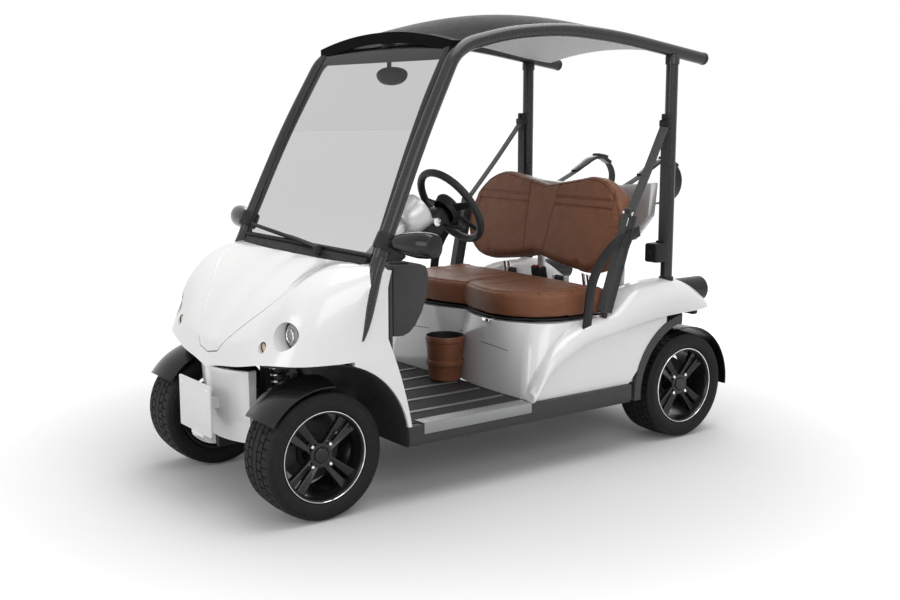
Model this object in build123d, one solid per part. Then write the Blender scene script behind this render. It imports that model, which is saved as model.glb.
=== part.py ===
from build123d import *
import math
import os

# Golf cart, two seats, in millimetres. +Z is up, the cart faces -Y and its left side is +X.
# The origin is on the floor, under the centre of the whole cart.

# ---------------------------------------------------------------- driving dimensions
WHEELBASE = 1780
FRONT_OVERHANG = 250          # front axle to the face of the number plate
MUDGUARD_RADIUS = 256         # outer radius of the rear mudguards, the rearmost point
TRACK_HALF = 412              # middle of a tyre from the cart's centre plane
TYRE_RADIUS = 228
TYRE_WIDTH = 190
BEAD_RADIUS = 152.5
BODY_HALF_WIDTH = 535         # outside of the sills and side panels
ARCH_RADIUS = 325             # wheel arches, about the axles
PANEL = 12                    # moulded body panels
SILL_BOTTOM = 212
SILL_TOP = 288
FLOOR_TOP = 285               # top of the floor board, under the mat
SEAT_DECK = 574               # top of the seat base
SEAT_FRONT = 900              # front of the cushion, behind the front axle
SEAT_REAR = 1350              # rear edge of the cushion
CUSHION_HALF = 490
CUSHION_TOP = 692
BACKREST_HALF = 512
ROOF_TUBE = 25                # radius of the roof frame's tubes
PILLAR_X = 456                # roof rails and rear posts from the centre plane
POST_BEHIND = 1692            # rear posts behind the front axle
RAIL_REAR = 1880              # rear end of the roof rails behind the front axle
KINGPIN_X = 350
STEER_GAP = 8                 # room kept round the steered parts
MOVE_GAP = 6                  # room between any other moving piece and the body
TOUCH = 0.5                   # joint line between curved pieces that meet

FRONT_AXLE_Y = FRONT_OVERHANG - (FRONT_OVERHANG + WHEELBASE + MUDGUARD_RADIUS) / 2
REAR_AXLE_Y = FRONT_AXLE_Y + WHEELBASE
STRETCH = WHEELBASE - 1780    # what a longer wheelbase adds between floor and rear axle
SIDES = (("left", 1), ("right", -1))


def fy(behind):
    """Y of a point given by its distance behind the front axle."""
    return FRONT_AXLE_Y + behind


def ry(behind):
    """Y of a point of the rear half, given as on a cart with the standard wheelbase."""
    return FRONT_AXLE_Y + behind + STRETCH


# ---------------------------------------------------------------- helpers
def yz_prism(points, x0, x1):
    """Straight-sided outline in the YZ plane, drawn out along X from x0 to x1."""
    return extrude(Plane.YZ.offset(x0) * make_face(Polyline(*points, close=True)), amount=x1 - x0)


def xy_prism(points, z0, z1):
    return extrude(Plane.XY.offset(z0) * make_face(Polyline(*points, close=True)), amount=z1 - z0)


def xz_prism(points, y0, y1):
    return extrude(Plane.XZ.offset(-y0) * make_face(Polyline(*points, close=True)), amount=y0 - y1)


def block(x0, x1, y0, y1, z0, z1):
    return Pos((x0 + x1) / 2, (y0 + y1) / 2, (z0 + z1) / 2) * Box(abs(x1 - x0), abs(y1 - y0), abs(z1 - z0))


def rod(a, b, radius):
    """Round bar from point a to point b."""
    a, b = Vector(*a), Vector(*b)
    return extrude(Plane(origin=a, z_dir=b - a) * Circle(radius), amount=(b - a).length)


def bar(a, b, wide, thick, up=(1, 0, 0)):
    """Flat bar from a to b, wide along the up direction and thick across it."""
    a, b = Vector(*a), Vector(*b)
    across = Vector(*up).cross(b - a)
    plane = Plane(origin=a, x_dir=across, z_dir=b - a)
    return extrude(plane * Rectangle(thick, wide), amount=(b - a).length)


BEND_SHARE = 0.46             # how much of the shorter run beside it a bend takes up


def bend_radii(points):
    """The largest bend radii that the runs beside each corner leave room for."""
    radii = []
    for before, corner, after in zip(points, points[1:], points[2:]):
        inward, outward = Vector(*corner) - Vector(*before), Vector(*after) - Vector(*corner)
        half_turn = math.radians(inward.get_angle(outward)) / 2
        radii.append(BEND_SHARE * min(inward.length, outward.length) / math.tan(half_turn))
    return radii


def bent(points, section):
    """Section swept along straight runs joined by the largest arcs that fit; its width lies along X."""
    path = FilletPolyline(*points, radius=bend_radii(points))
    return sweep(Plane(origin=path @ 0, x_dir=(1, 0, 0), z_dir=path % 0) * section, path=path)


def x_disc(x0, x1, y, z, radius):
    return Pos((x0 + x1) / 2, y, z) * Rot(0, 90, 0) * Cylinder(radius, abs(x1 - x0))


def x_ring(x0, x1, y, z, outer, inner):
    return x_disc(x0, x1, y, z, outer) - x_disc(min(x0, x1) - 1, max(x0, x1) + 1, y, z, inner)


def both_sides(shape):
    """The shape and its mirror image across the centre plane."""
    return [shape, shape.mirror(Plane.YZ)]


def save(node, *shapes):
    solids = []
    for shape in shapes:
        for item in shape if isinstance(shape, (list, tuple)) else [shape]:
            solids += item.solids()
    solid = solids[0] if len(solids) == 1 else Compound(children=solids)
    export_step(solid, f"parts/{node}.step")


# ---------------------------------------------------------------- wheels
TYRE_BAND = 150               # width over the beads
TREAD_WIDTH = 164
SHOULDER_DROP = 5
BARREL_WALL = 8
FLANGE_RADIUS = 162
FLANGE_HALF = 84              # flanges from the middle of the wheel
HUB_RADIUS = 42
HUB_BORE = 16
SPOKE_FACE = 62               # outer face of the spokes from the middle of the wheel
SPOKE_DEPTH = 22
SPOKE_WIDTH = 24
SPOKE_PAIR_ROOT = 15          # half the gap between the two bars of a spoke, at the hub
SPOKE_PAIR_TIP = 24           # and at the rim
DISC_RADIUS = 108
DISC_X = -20                  # brake disc from the middle of the wheel
DISC_HALF = 5


def tyre():
    """Tyre about the X axis, centred on the origin, with plain tread."""
    half_band = TYRE_BAND / 2
    half_tread = TREAD_WIDTH / 2
    shoulder = TYRE_RADIUS - SHOULDER_DROP
    bulge_z = (FLANGE_RADIUS + shoulder) / 2
    with BuildPart() as made:
        with BuildSketch(Plane.XZ):
            with BuildLine():
                Line((-half_band, BEAD_RADIUS), (half_band, BEAD_RADIUS))
                Polyline((half_band, BEAD_RADIUS), (half_band, FLANGE_RADIUS), (FLANGE_HALF, FLANGE_RADIUS))
                ThreePointArc((FLANGE_HALF, FLANGE_RADIUS), (TYRE_WIDTH / 2, bulge_z), (half_tread, shoulder))
                ThreePointArc((half_tread, shoulder), (0, TYRE_RADIUS), (-half_tread, shoulder))
                ThreePointArc((-half_tread, shoulder), (-TYRE_WIDTH / 2, bulge_z), (-FLANGE_HALF, FLANGE_RADIUS))
                Polyline((-FLANGE_HALF, FLANGE_RADIUS), (-half_band, FLANGE_RADIUS), (-half_band, BEAD_RADIUS))
            make_face()
        revolve(axis=Axis.X)
    return made.part


def rim():
    """Alloy wheel about the X axis with its outer face towards +X, and its brake disc."""
    half = TYRE_BAND / 2
    barrel = x_ring(-half, half, 0, 0, BEAD_RADIUS, BEAD_RADIUS - BARREL_WALL)
    for side in (-1, 1):
        barrel += x_ring(side * half, side * FLANGE_HALF, 0, 0, FLANGE_RADIUS, BEAD_RADIUS - BARREL_WALL)
    made = barrel + x_disc(DISC_X - DISC_HALF - 3, SPOKE_FACE, 0, 0, HUB_RADIUS)
    reach = BEAD_RADIUS - BARREL_WALL / 2
    for turn in range(4):
        for side in (-1, 1):
            root = Vector(0, side * SPOKE_PAIR_ROOT, 0)
            tip = Vector(0, side * SPOKE_PAIR_TIP, math.sqrt(reach ** 2 - SPOKE_PAIR_TIP ** 2))
            one = bar(root, tip, SPOKE_DEPTH, SPOKE_WIDTH)
            one = Pos(SPOKE_FACE - SPOKE_DEPTH / 2, 0, 0) * one
            made += Rot(45 + 90 * turn, 0, 0) * one
    made += x_disc(DISC_X - DISC_HALF, DISC_X + DISC_HALF, 0, 0, DISC_RADIUS)
    made -= x_disc(-200, SPOKE_FACE - 20, 0, 0, HUB_BORE)
    return made


def wheels():
    one_tyre, one_rim = tyre(), rim()
    for end, axle_y in (("front", FRONT_AXLE_Y), ("rear", REAR_AXLE_Y)):
        for name, side in SIDES:
            turn = Rot(0, 0, 0 if side > 0 else 180)
            place = Pos(side * TRACK_HALF, axle_y, TYRE_RADIUS) * turn
            save(f"tyre_{end}_{name}", place * one_tyre)
            save(f"rim_{end}_{name}", place * one_rim)


# ---------------------------------------------------------------- knuckles and front mudguards
KNUCKLE_HALF_HEIGHT = 72
KNUCKLE_THICK = 36
STUB_RADIUS = 15
PIN_RADIUS = 9
ARM_GAP = 5
ARM_THICK = 18
GUARD_EDGE = TYRE_RADIUS + 16
GUARD_CROWN = TYRE_RADIUS + 36
GUARD_HALF = 100
GUARD_THICK = 4
GUARD_FRONT = 56              # degrees forward of the top
GUARD_REAR = 8                # degrees behind the top
CALIPER_INNER = 70
CALIPER_OUTER = 128


def caliper(y, axle_x, side):
    """Brake caliper over the front edge of the disc, open by the disc's clearance."""
    disc = axle_x + side * DISC_X
    x0, x1 = disc - side * 26, disc + side * 24
    slot = DISC_HALF + ARM_GAP
    body = block(x0, x1, y - CALIPER_OUTER, y - CALIPER_INNER, TYRE_RADIUS - 38, TYRE_RADIUS + 38)
    return body - x_disc(disc - slot, disc + slot, y, TYRE_RADIUS, DISC_RADIUS + ARM_GAP)


def guard(inner_edge, inner_crown, half, thick):
    """Cross-section of a crowned mudguard, X across and Z as radius."""
    top, low = inner_crown + thick, inner_edge + thick
    with BuildSketch(Plane.XZ) as section:
        with BuildLine():
            ThreePointArc((-half, inner_edge), (0, inner_crown), (half, inner_edge))
            Line((half, inner_edge), (half, low))
            ThreePointArc((half, low), (0, top), (-half, low))
            Line((-half, low), (-half, inner_edge))
        make_face()
    return section.sketch


def guard_arc(section, from_deg, to_deg):
    """Section swept about the X axis, from_deg forward of the top to to_deg behind it."""
    return revolve(Rot(from_deg, 0, 0) * section, axis=Axis.X, revolution_arc=-(from_deg + to_deg))


def knuckles():
    section = guard(GUARD_EDGE, GUARD_CROWN, GUARD_HALF, GUARD_THICK)
    shell = guard_arc(section, GUARD_FRONT, GUARD_REAR)
    x_pin, x_wheel = KINGPIN_X, TRACK_HALF
    inner, outer = x_pin - KNUCKLE_THICK / 2, x_pin + KNUCKLE_THICK / 2
    low, high = TYRE_RADIUS - KNUCKLE_HALF_HEIGHT, TYRE_RADIUS + KNUCKLE_HALF_HEIGHT
    made = block(inner, outer, fy(-28), fy(28), low, high)
    made += x_disc(outer, x_wheel + 30, FRONT_AXLE_Y, TYRE_RADIUS, STUB_RADIUS)
    pin_reach = ARM_GAP + ARM_THICK
    pin_top = high + pin_reach + 6
    made += rod((x_pin, FRONT_AXLE_Y, low - pin_reach), (x_pin, FRONT_AXLE_Y, pin_top), PIN_RADIUS)
    made += block(inner, outer, fy(-CALIPER_INNER - 8), fy(-20), TYRE_RADIUS - 20, TYRE_RADIUS + 20)
    made += caliper(FRONT_AXLE_Y, x_wheel, 1)
    # The mudguard's stay runs from the top of the kingpin up the inner side of the tyre.
    stay_x = x_wheel - GUARD_HALF - 6
    stay = block(stay_x - 5, stay_x + 5, fy(-14), fy(14), pin_top, TYRE_RADIUS + GUARD_EDGE)
    stay += block(stay_x, x_pin + 12, fy(-14), fy(14), pin_top, pin_top + 8)
    top_z = TYRE_RADIUS + GUARD_EDGE
    top = block(stay_x - 5, x_wheel - 60, fy(-14), fy(14), top_z, top_z + 14)
    cover = Pos(x_wheel, FRONT_AXLE_Y, TYRE_RADIUS) * shell + stay + top
    for (name, side), knuckle, mudguard in zip(SIDES, both_sides(made), both_sides(cover)):
        save(f"knuckle_{name}", knuckle)
        save(f"mudguard_{name}", mudguard)


# ---------------------------------------------------------------- front body
COWL_BACK = 172               # rear edge of the bonnet behind the front axle
COWL_HIGH = 873               # height of the bonnet's rear edge
BODY_BACK = 236               # rear face of the front body's top, behind the axle
COWL_HALF = 456               # half length of the black cowl panel
COWL_SHELF = 893              # top of the cowl, where the windscreen stands
NOSE_LOW = 487                # lower tip of the nose
LIP_RISE = 0.158              # rise of the nose's lower edge per millimetre outwards

# Side profiles of the nose and front wings at each distance from the centre plane:
# x, y of the lower edge, y and z of the chin, y and z of the crest, y and z at the cowl.
NOSE_PROFILES = (
    (0, -204, -188, 575, -30, 738, 172, 870),
    (150, -198, -178, 588, -38, 742, 173, 871),
    (300, -180, -145, 620, -42, 762, 176, 873),
    (400, -158, -120, 640, -50, 778, 182, 874),
    (470, -118, -84, 650, -6, 782, 192, 873),
    (512, -52, -18, 655, 66, 776, 202, 868),
    (BODY_HALF_WIDTH, 40, 66, 655, 132, 770, 216, 852),
)


def nose_face(x, low_y, chin_y, chin_z, crest_y, crest_z, cowl_y, cowl_z, inset):
    """One side profile of the front body, drawn in by the panel's thickness for its inside."""
    lip = min(NOSE_LOW + LIP_RISE * abs(x), TYRE_RADIUS + ARCH_RADIUS)
    low_z = lip - (40 if inset else 0)
    inward = inset * 0.75
    a = (fy(low_y + inset), low_z)
    b = (fy(chin_y + inset), chin_z)
    c = (fy(crest_y + inward), crest_z - inward)
    d = (fy(cowl_y + (12 if inset else 0)), cowl_z - inset)
    back = fy(BODY_BACK + (30 if inset else 0))
    edges = Line(a, b) + ThreePointArc(b, c, d) + Polyline(d, (back, cowl_z - inset), (back, low_z), a)
    half = BODY_HALF_WIDTH
    return Plane.YZ.offset(x * (half - inset) / half) * make_face(edges)


def nose_solid(inset):
    table = [(-row[0],) + row[1:] for row in reversed(NOSE_PROFILES[1:])] + list(NOSE_PROFILES)
    return loft([nose_face(*row, inset) for row in table])


# Rear edge of the front wing: distance behind the axle and height, joined by two arcs.
WING_FOOT = (334, SILL_TOP + TOUCH)
WING_FOOT_MIDDLE = (292, 462)
WING_WAIST = (226, 640)
WING_KNEE = (228, 750)
WING_TOP = (252, 855)
LEG_THICK = 40                # how far the wing's leg turns in behind the wheel


def wing_leg(side):
    """Panel behind the front wheel, from the sill up to the cowl."""
    foot, foot_mid, waist = [(fy(y), z) for y, z in (WING_FOOT, WING_FOOT_MIDDLE, WING_WAIST)]
    knee, top = [(fy(y), z) for y, z in (WING_KNEE, WING_TOP)]
    front = fy(100)
    edges = ThreePointArc(foot, foot_mid, waist) + ThreePointArc(waist, knee, top)
    edges += Polyline(top, (fy(216), 852), (front, 700), (front, foot[1]), foot)
    x0 = side * (BODY_HALF_WIDTH - LEG_THICK)
    return extrude(Plane.YZ.offset(x0) * make_face(edges), amount=side * LEG_THICK)


# Half outline of the bonnet seen from the front: x and z.
SEAM_TIP = 536
SEAM_CORNER = (70, 548)
SEAM_REAR = (408, 900)
SEAM_GAP = 4
PILLAR_PATH = ((506, 206, 865), (508, 222, 900), (510, 236, 938), (490, 406, 1300), (466, 568, 1590),
               (PILLAR_X, 640, 1632), (PILLAR_X, 829, 1677), (PILLAR_X, 1090, 1701),
               (PILLAR_X, 1388, 1681), (PILLAR_X, RAIL_REAR, 1608))


def roof_tube(side, radius):
    """Windscreen pillar and roof rail, one bent tube."""
    points = [(side * x, roof_y(y), z) for x, y, z in PILLAR_PATH]
    return bent(points, Circle(radius))


# Tapered foot of each pillar on the front wing: x, y, z of the middle, half width across and along.
PILLAR_FOOT = ((511, 224, 905, 25, 25.5), (520, 192, 830, 20, 24), (529, 172, 762, 15, 20),
               (535, 154, 690, 10, 13), (537, 131, 622, 3, 3.5))


def pillar_foot(side, grow):
    return loft([Pos(side * x, fy(y), z) * Ellipse(wide + grow, deep + grow) for x, y, z, wide, deep in PILLAR_FOOT])


def bonnet_column(gap):
    """Upright column of the bonnet's outline, drawn in by a gap."""
    cx, cz = SEAM_CORNER
    rx, rz = SEAM_REAR
    half = [(0, SEAM_TIP + gap), (cx - gap * 0.4, cz + gap), (rx - gap, rz)]
    points = [(-x, z) for x, z in reversed(half[1:])] + half
    return xz_prism(points, fy(-400), fy(COWL_BACK - gap))


# Round recesses for the headlamps and indicators: x, y of the lens, z, radius.
LAMP_HOLES = ((425, -77, 648, 48), (336, -138, 600, 20))
LAMP_WALL = 6                 # wall round each recess
BONNET_HINGE_Y, BONNET_HINGE_Z = 175, 864   # the bonnet's hinge line, behind the front axle
BONNET_LUGS = (300, 332)      # inner faces of the cowl's hinge lugs from the centre plane
LUG_THICK = 8
LUG_RADIUS = 5
BONNET_PIN = 3


def bonnet_barrel(side):
    """Hinge barrel under the bonnet's rear edge, turning on the cowl's pin."""
    y, z = fy(BONNET_HINGE_Y), BONNET_HINGE_Z
    near, far = side * (BONNET_LUGS[0] + LUG_THICK + 1), side * (BONNET_LUGS[1] - 1)
    made = block(near, far, y - 10, y - 3, z - LUG_RADIUS, z + LUG_RADIUS) + x_disc(near, far, y, z, LUG_RADIUS + 0.5)
    return made - x_disc(near - side, far + side, y, z, BONNET_PIN + HINGE_PLAY)


def front_body():
    outer = nose_solid(0)
    shell = outer - nose_solid(PANEL)
    bonnet = shell & bonnet_column(SEAM_GAP)
    wings = shell - bonnet_column(0)
    for name, side in SIDES:
        wings += wing_leg(side)
        wings -= x_disc(side * 190, side * 700, FRONT_AXLE_Y, TYRE_RADIUS, ARCH_RADIUS)
        wings -= roof_tube(side, ROOF_TUBE + TOUCH)
        wings -= pillar_foot(side, TOUCH)
        wings -= block(-COWL_HALF, COWL_HALF, fy(COWL_BACK), fy(BODY_BACK + 20), 800, 950)
        for x, y, z, radius in LAMP_HOLES:
            ends = (side * x, fy(y - 150), z), (side * x, fy(y + 60), z)
            wings += rod(*ends, radius + LAMP_WALL) & outer
            wings -= rod(*ends, radius)
        bonnet += bonnet_barrel(side)
    save("front_body", wings)
    save("bonnet", bonnet)


LAMP_GAP = 1.5
LAMP_DEPTH = 40


def lamps():
    """Headlamps and indicators in their recesses, and the tail lamps under the rear wings."""
    made = both_sides(block(400, 476, ry(1850), ry(1880), 524, 552))
    for x, y, z, radius in LAMP_HOLES:
        made += both_sides(rod((x, fy(y + LAMP_DEPTH), z), (x, fy(y), z), radius - LAMP_GAP))
    save("lamps", made)


BUMPER_LOW = 220
BUMPER_HALF = 188


def bumper():
    """White chin between the front wheels, open at the back."""
    def plan(z, front, side_front, half, inset):
        nose = (0, fy(front + inset))
        corner = (half - inset, fy(side_front + inset))
        mirror = (-corner[0], corner[1])
        back = fy(-97)
        edges = ThreePointArc(mirror, nose, corner)
        edges += Polyline(corner, (corner[0], back), (mirror[0], back), mirror)
        return Plane.XY.offset(z) * make_face(edges)
    top = NOSE_LOW - TOUCH
    solids = []
    for inset, low in ((0, BUMPER_LOW), (PANEL, BUMPER_LOW - 5)):
        solids.append(loft([plan(low, -165, -118, BUMPER_HALF - 14, inset),
                            plan(top + (5 if inset else 0), -190, -128, BUMPER_HALF, inset)]))
    chin = solids[0] - solids[1]
    half_w, half_h, plate_z, thick = 131, 94, 345, 6
    face = fy(-FRONT_OVERHANG)
    plate = block(-half_w, half_w, face, face + thick, plate_z - half_h, plate_z + half_h)
    plate = fillet(plate.edges().filter_by(Axis.Y), 8)
    save("number_plate", plate)
    # The bracket stands off the chin with two legs and a flat face behind the plate.
    bracket = block(-50, 50, face + thick, face + thick + 5, plate_z - 110, plate_z + 60)
    for side in (-1, 1):
        bracket += block(side * 30 - 12, side * 30 + 12, face + thick, fy(-150), plate_z - 10, plate_z + 30)
    save("bumper", chin + (bracket - solids[0]))


LINER_GAP = 1
LINER_THICK = 4
LINER_INNER = 222             # inner edge of the front liners
LINER_TUCK = 55               # the liner starts this far behind the nose's lower edge


def arch_liners():
    """Black liners inside the front wheel arches, down to the bottom of the sills."""
    outer = ARCH_RADIUS - LINER_GAP
    ring = x_ring(LINER_INNER, BODY_HALF_WIDTH - 10, FRONT_AXLE_Y, TYRE_RADIUS, outer, outer - LINER_THICK)
    front_edge = [(row[0], fy(row[1] + LINER_TUCK)) for row in NOSE_PROFILES if row[0] > LINER_INNER]
    front_edge = [(LINER_INNER - 1, front_edge[0][1])] + front_edge
    back = fy(ARCH_RADIUS + 50)
    keep = xy_prism(front_edge + [(BODY_HALF_WIDTH, back), (LINER_INNER - 1, back)], SILL_BOTTOM, 700)
    save("arch_liners", both_sides(ring & keep))


# ---------------------------------------------------------------- chassis, floor and sills
SHOCK_HEAD = 532              # top of the front shock absorbers
AXLE_TUBE = 36                # radius of the rear axle's casing
RAIL_X = 240                  # chassis side rails from the centre plane
FLOOR_FRONT = 352
FRONT_RAIL_X = 125            # front subframe rails from the centre plane
STRIP_X = (-375, -225, -75, 75, 225, 375)   # rubbing strips on the floor mat
SILL_REAR = 1425              # rear end of the sills behind the front axle
DECK_FRONT = 900              # foot of the seat base behind the front axle


def chassis():
    z0, z1 = SILL_BOTTOM + 10, FLOOR_TOP - 18
    made = block(-RAIL_X - 30, RAIL_X + 30, fy(330), fy(390), z0, z1)
    made += block(-RAIL_X - 30, RAIL_X + 30, ry(1380), ry(1440), z0, z1)
    for side in (-1, 1):
        made += block(side * RAIL_X - 25, side * RAIL_X + 25, fy(330), ry(1440), z0, z1)
        made += block(side * FRONT_RAIL_X - 20, side * FRONT_RAIL_X + 20, fy(-90), fy(390), z0, z1)
        made += bar((side * RAIL_X, ry(1400), 250), (side * RAIL_X, ry(1560), 420), 50, 44)
        made += block(side * RAIL_X - 25, side * RAIL_X + 25, ry(1540), ry(1960), 398, 442)
        made += block(side * FRONT_RAIL_X - 20, side * FRONT_RAIL_X + 20, fy(-40), fy(20), z1, 560)
    made += block(-FRONT_RAIL_X, FRONT_RAIL_X, fy(-90), fy(-50), z0, z1)
    made += block(-215, 215, fy(-40), fy(20), SHOCK_HEAD, SHOCK_HEAD + 28)
    made += block(-RAIL_X, RAIL_X, ry(1900), ry(1950), 398, 442)
    save("chassis", made)


def floor():
    half = BODY_HALF_WIDTH - 32
    board = block(-half, half, fy(FLOOR_FRONT), ry(DECK_FRONT + 25), FLOOR_TOP - 18, FLOOR_TOP)
    toe = yz_prism([(fy(228), 560), (fy(FLOOR_FRONT), FLOOR_TOP), (fy(FLOOR_FRONT), FLOOR_TOP - 18),
                    (fy(FLOOR_FRONT - 8), FLOOR_TOP - 18), (fy(216), 553)], -430, 430)
    save("floor_board", board + toe)
    mat_top = FLOOR_TOP + 5
    save("floor_mat", block(-half + 4, half - 4, fy(FLOOR_FRONT + 6), ry(DECK_FRONT - 2), FLOOR_TOP, mat_top))
    trim = []
    for x in STRIP_X:
        one = block(x - 8, x + 8, fy(FLOOR_FRONT + 30), ry(DECK_FRONT - 24), mat_top, mat_top + 4)
        trim.append(fillet(one.edges().filter_by(Axis.Z), 7.5))
    plate_x = BODY_HALF_WIDTH
    plate = block(half - 30, plate_x + 3, fy(385), ry(DECK_FRONT - 14), mat_top, mat_top + 3)
    plate += block(plate_x, plate_x + 3, fy(385), ry(DECK_FRONT - 14), mat_top - 36, mat_top + 3)
    save("floor_trim", trim + both_sides(plate))


def sills():
    inner = BODY_HALF_WIDTH - 62
    outline = [(inner, SILL_BOTTOM), (BODY_HALF_WIDTH - 10, SILL_BOTTOM), (BODY_HALF_WIDTH, SILL_BOTTOM + 12),
               (BODY_HALF_WIDTH, SILL_TOP), (BODY_HALF_WIDTH - 32, SILL_TOP),
               (BODY_HALF_WIDTH - 32, FLOOR_TOP - 18), (inner, FLOOR_TOP - 18)]
    one = xz_prism(outline, fy(270), ry(SILL_REAR))
    one -= x_disc(400, 700, FRONT_AXLE_Y, TYRE_RADIUS, ARCH_RADIUS)
    one -= x_disc(400, 700, REAR_AXLE_Y, TYRE_RADIUS, ARCH_RADIUS)
    save("sills", both_sides(one))


# ---------------------------------------------------------------- windscreen and roof
GLASS_THICK = 6
GLASS_CURVE = ((217, COWL_SHELF), (392, 1295), (580, 1640))
GLASS_EDGE_GAP = 3
HEADER_FRONT, HEADER_BACK = 565, 632
HEADER_EDGE, HEADER_CROWN, HEADER_DEEP = 1642, 1690, 42
PANEL_THICK = 16
LINER_PANEL = 8
# Roof stations: distance behind the front axle, height at the edges, rise at the middle.
ROOF_STATIONS = ((600, 1640, 48), (829, 1686, 62), (1090, 1710, 68), (1388, 1690, 66), (1810, 1632, 52))


def cowl():
    front = fy(COWL_BACK + MOVE_GAP + 4)
    outline = [(front, 846), (front, 862), (fy(202), COWL_SHELF),
               (fy(255), COWL_SHELF), (fy(255), COWL_SHELF - 26), (fy(206), 846)]
    panel = yz_prism(outline, -COWL_HALF + TOUCH, COWL_HALF - TOUCH)
    y, z = fy(BONNET_HINGE_Y), BONNET_HINGE_Z
    for side in (-1, 1):
        for x in BONNET_LUGS:
            near, far = side * x, side * (x + LUG_THICK)
            panel += x_disc(near, far, y, z, LUG_RADIUS)
            panel += block(near, far, y, y + 15, z - LUG_RADIUS, z + LUG_RADIUS)
        panel += x_disc(side * BONNET_LUGS[0], side * (BONNET_LUGS[1] + LUG_THICK), y, z, BONNET_PIN)
    save("cowl", panel)
    # Wiper: spindle on the cowl, arm and blade lying along the foot of the glass.
    spindle = rod((140, fy(196), 876), (140, fy(188), 906), 13)
    arm = bar((140, fy(187), 903), (-440, fy(206), 942), 14, 7, (0, 1, 0))
    save("wiper", spindle + arm - panel)


def glass():
    front = [(fy(y), z) for y, z in GLASS_CURVE]
    back = [(y + GLASS_THICK, z) for y, z in front]
    edges = ThreePointArc(*front) + Line(front[2], back[2]) + ThreePointArc(*reversed(back)) + Line(back[0], front[0])
    pane = extrude(Plane.YZ.offset(-BODY_HALF_WIDTH) * make_face(edges), amount=2 * BODY_HALF_WIDTH)
    # The sides of the pane run along the pillars' inner faces.
    reach = ROOF_TUBE + GLASS_EDGE_GAP
    side_edge = [(x - reach, z) for x, y, z in PILLAR_PATH[2:6]]
    side_edge = [(side_edge[0][0], COWL_SHELF - 10)] + side_edge
    outline = side_edge + [(-x, z) for x, z in reversed(side_edge)]
    pane &= xz_prism(outline, fy(0), fy(800))
    pane -= header_solid(TOUCH)
    save("windscreen", min(pane.solids(), key=lambda piece: piece.center().Z))


def arc_band(y, half, edge, crown, thick):
    """Face across the cart at y: a band that bows up to the crown in the middle."""
    edges = ThreePointArc((-half, edge), (0, crown), (half, edge)) + Line((half, edge), (half, edge - thick))
    edges += ThreePointArc((half, edge - thick), (0, crown - thick), (-half, edge - thick))
    edges += Line((-half, edge - thick), (-half, edge))
    return Plane.XZ.offset(-y) * make_face(edges)


def header_solid(grow):
    half = PILLAR_X
    face = arc_band(fy(HEADER_FRONT - grow), half, HEADER_EDGE + grow, HEADER_CROWN + grow, HEADER_DEEP + 2 * grow)
    return extrude(face, amount=HEADER_BACK - HEADER_FRONT + 2 * grow, dir=(0, 1, 0))


def roof_y(y):
    """Y of a point of the roof; only the part behind the doors' middle follows a longer wheelbase."""
    return fy(y) if y < 1200 else ry(y)


def roof():
    header = header_solid(0)
    panel = loft([arc_band(roof_y(y), PILLAR_X, edge, edge + rise, PANEL_THICK) for y, edge, rise in ROOF_STATIONS])
    under = PANEL_THICK + TOUCH
    liner = loft([arc_band(roof_y(y), PILLAR_X, edge - under, edge + rise - under, LINER_PANEL)
                  for y, edge, rise in ROOF_STATIONS])
    liner &= block(-PILLAR_X + 36, PILLAR_X - 36, fy(500), ry(1800), 1500, 1900)
    for side in (-1, 1):
        tube = roof_tube(side, ROOF_TUBE + TOUCH)
        header -= tube
        panel -= tube
        liner -= tube
    panel -= header_solid(TOUCH)
    liner -= header_solid(TOUCH)
    save("roof_header", max(header.solids(), key=lambda piece: piece.volume))
    save("roof_panel", max(panel.solids(), key=lambda piece: piece.volume))
    save("roof_liner", max(liner.solids(), key=lambda piece: piece.volume))
    rails = [roof_tube(side, ROOF_TUBE) + pillar_foot(side, 0) for name, side in SIDES]
    save("roof_rails", rails)
    posts = []
    for name, side in SIDES:
        foot, head = TYRE_RADIUS + ARCH_RADIUS, 1640
        post = rod((side * PILLAR_X, ry(POST_BEHIND), foot), (side * PILLAR_X, ry(POST_BEHIND), head), ROOF_TUBE)
        post -= roof_tube(side, ROOF_TUBE + TOUCH)
        posts.append(min(post.solids(), key=lambda piece: piece.center().Z))
    save("rear_posts", posts)


MIRROR_Z = 952
# Mirror pod: x and y of the section's middle, half depth and half height.
MIRROR_POD = ((535, 247, 20, 21), (590, 262, 30, 34), (660, 280, 42, 46), (726.1, 297, 36, 40))


def mirrors():
    """Mirror pods clamped round the windscreen pillars, and the mirror inside."""
    one = rod((508, fy(243), MIRROR_Z - 17), (512, fy(243), MIRROR_Z + 17), 36)
    one -= block(400, 484, fy(150), fy(350), 800, 1100)
    one += loft([Plane(origin=(x, fy(y), MIRROR_Z), x_dir=(0, 1, 0), z_dir=(1, 0.05, 0)) * Ellipse(deep, high)
                 for x, y, deep, high in MIRROR_POD])
    one -= roof_tube(1, ROOF_TUBE + TOUCH)
    one = max(one.solids(), key=lambda piece: piece.volume)
    inside = Pos(-35, fy(640), 1532) * Rot(90, 0, 0) * extrude(Ellipse(92, 34), amount=14, both=True)
    inside += rod((-35, fy(630), 1545), (0, fy(604), 1668), 7)
    save("mirrors", both_sides(one) + [inside - header_solid(TOUCH)])


# ---------------------------------------------------------------- dashboard and controls
POCKET_INNER, POCKET_OUTER = 388, BODY_HALF_WIDTH - LEG_THICK - TOUCH
POCKET_TOP = 862
CUP_RADIUS = 38
CUP_DEPTH = 75
CUP_Y = 342
CUP_X = (POCKET_INNER + POCKET_OUTER) / 2


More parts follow.
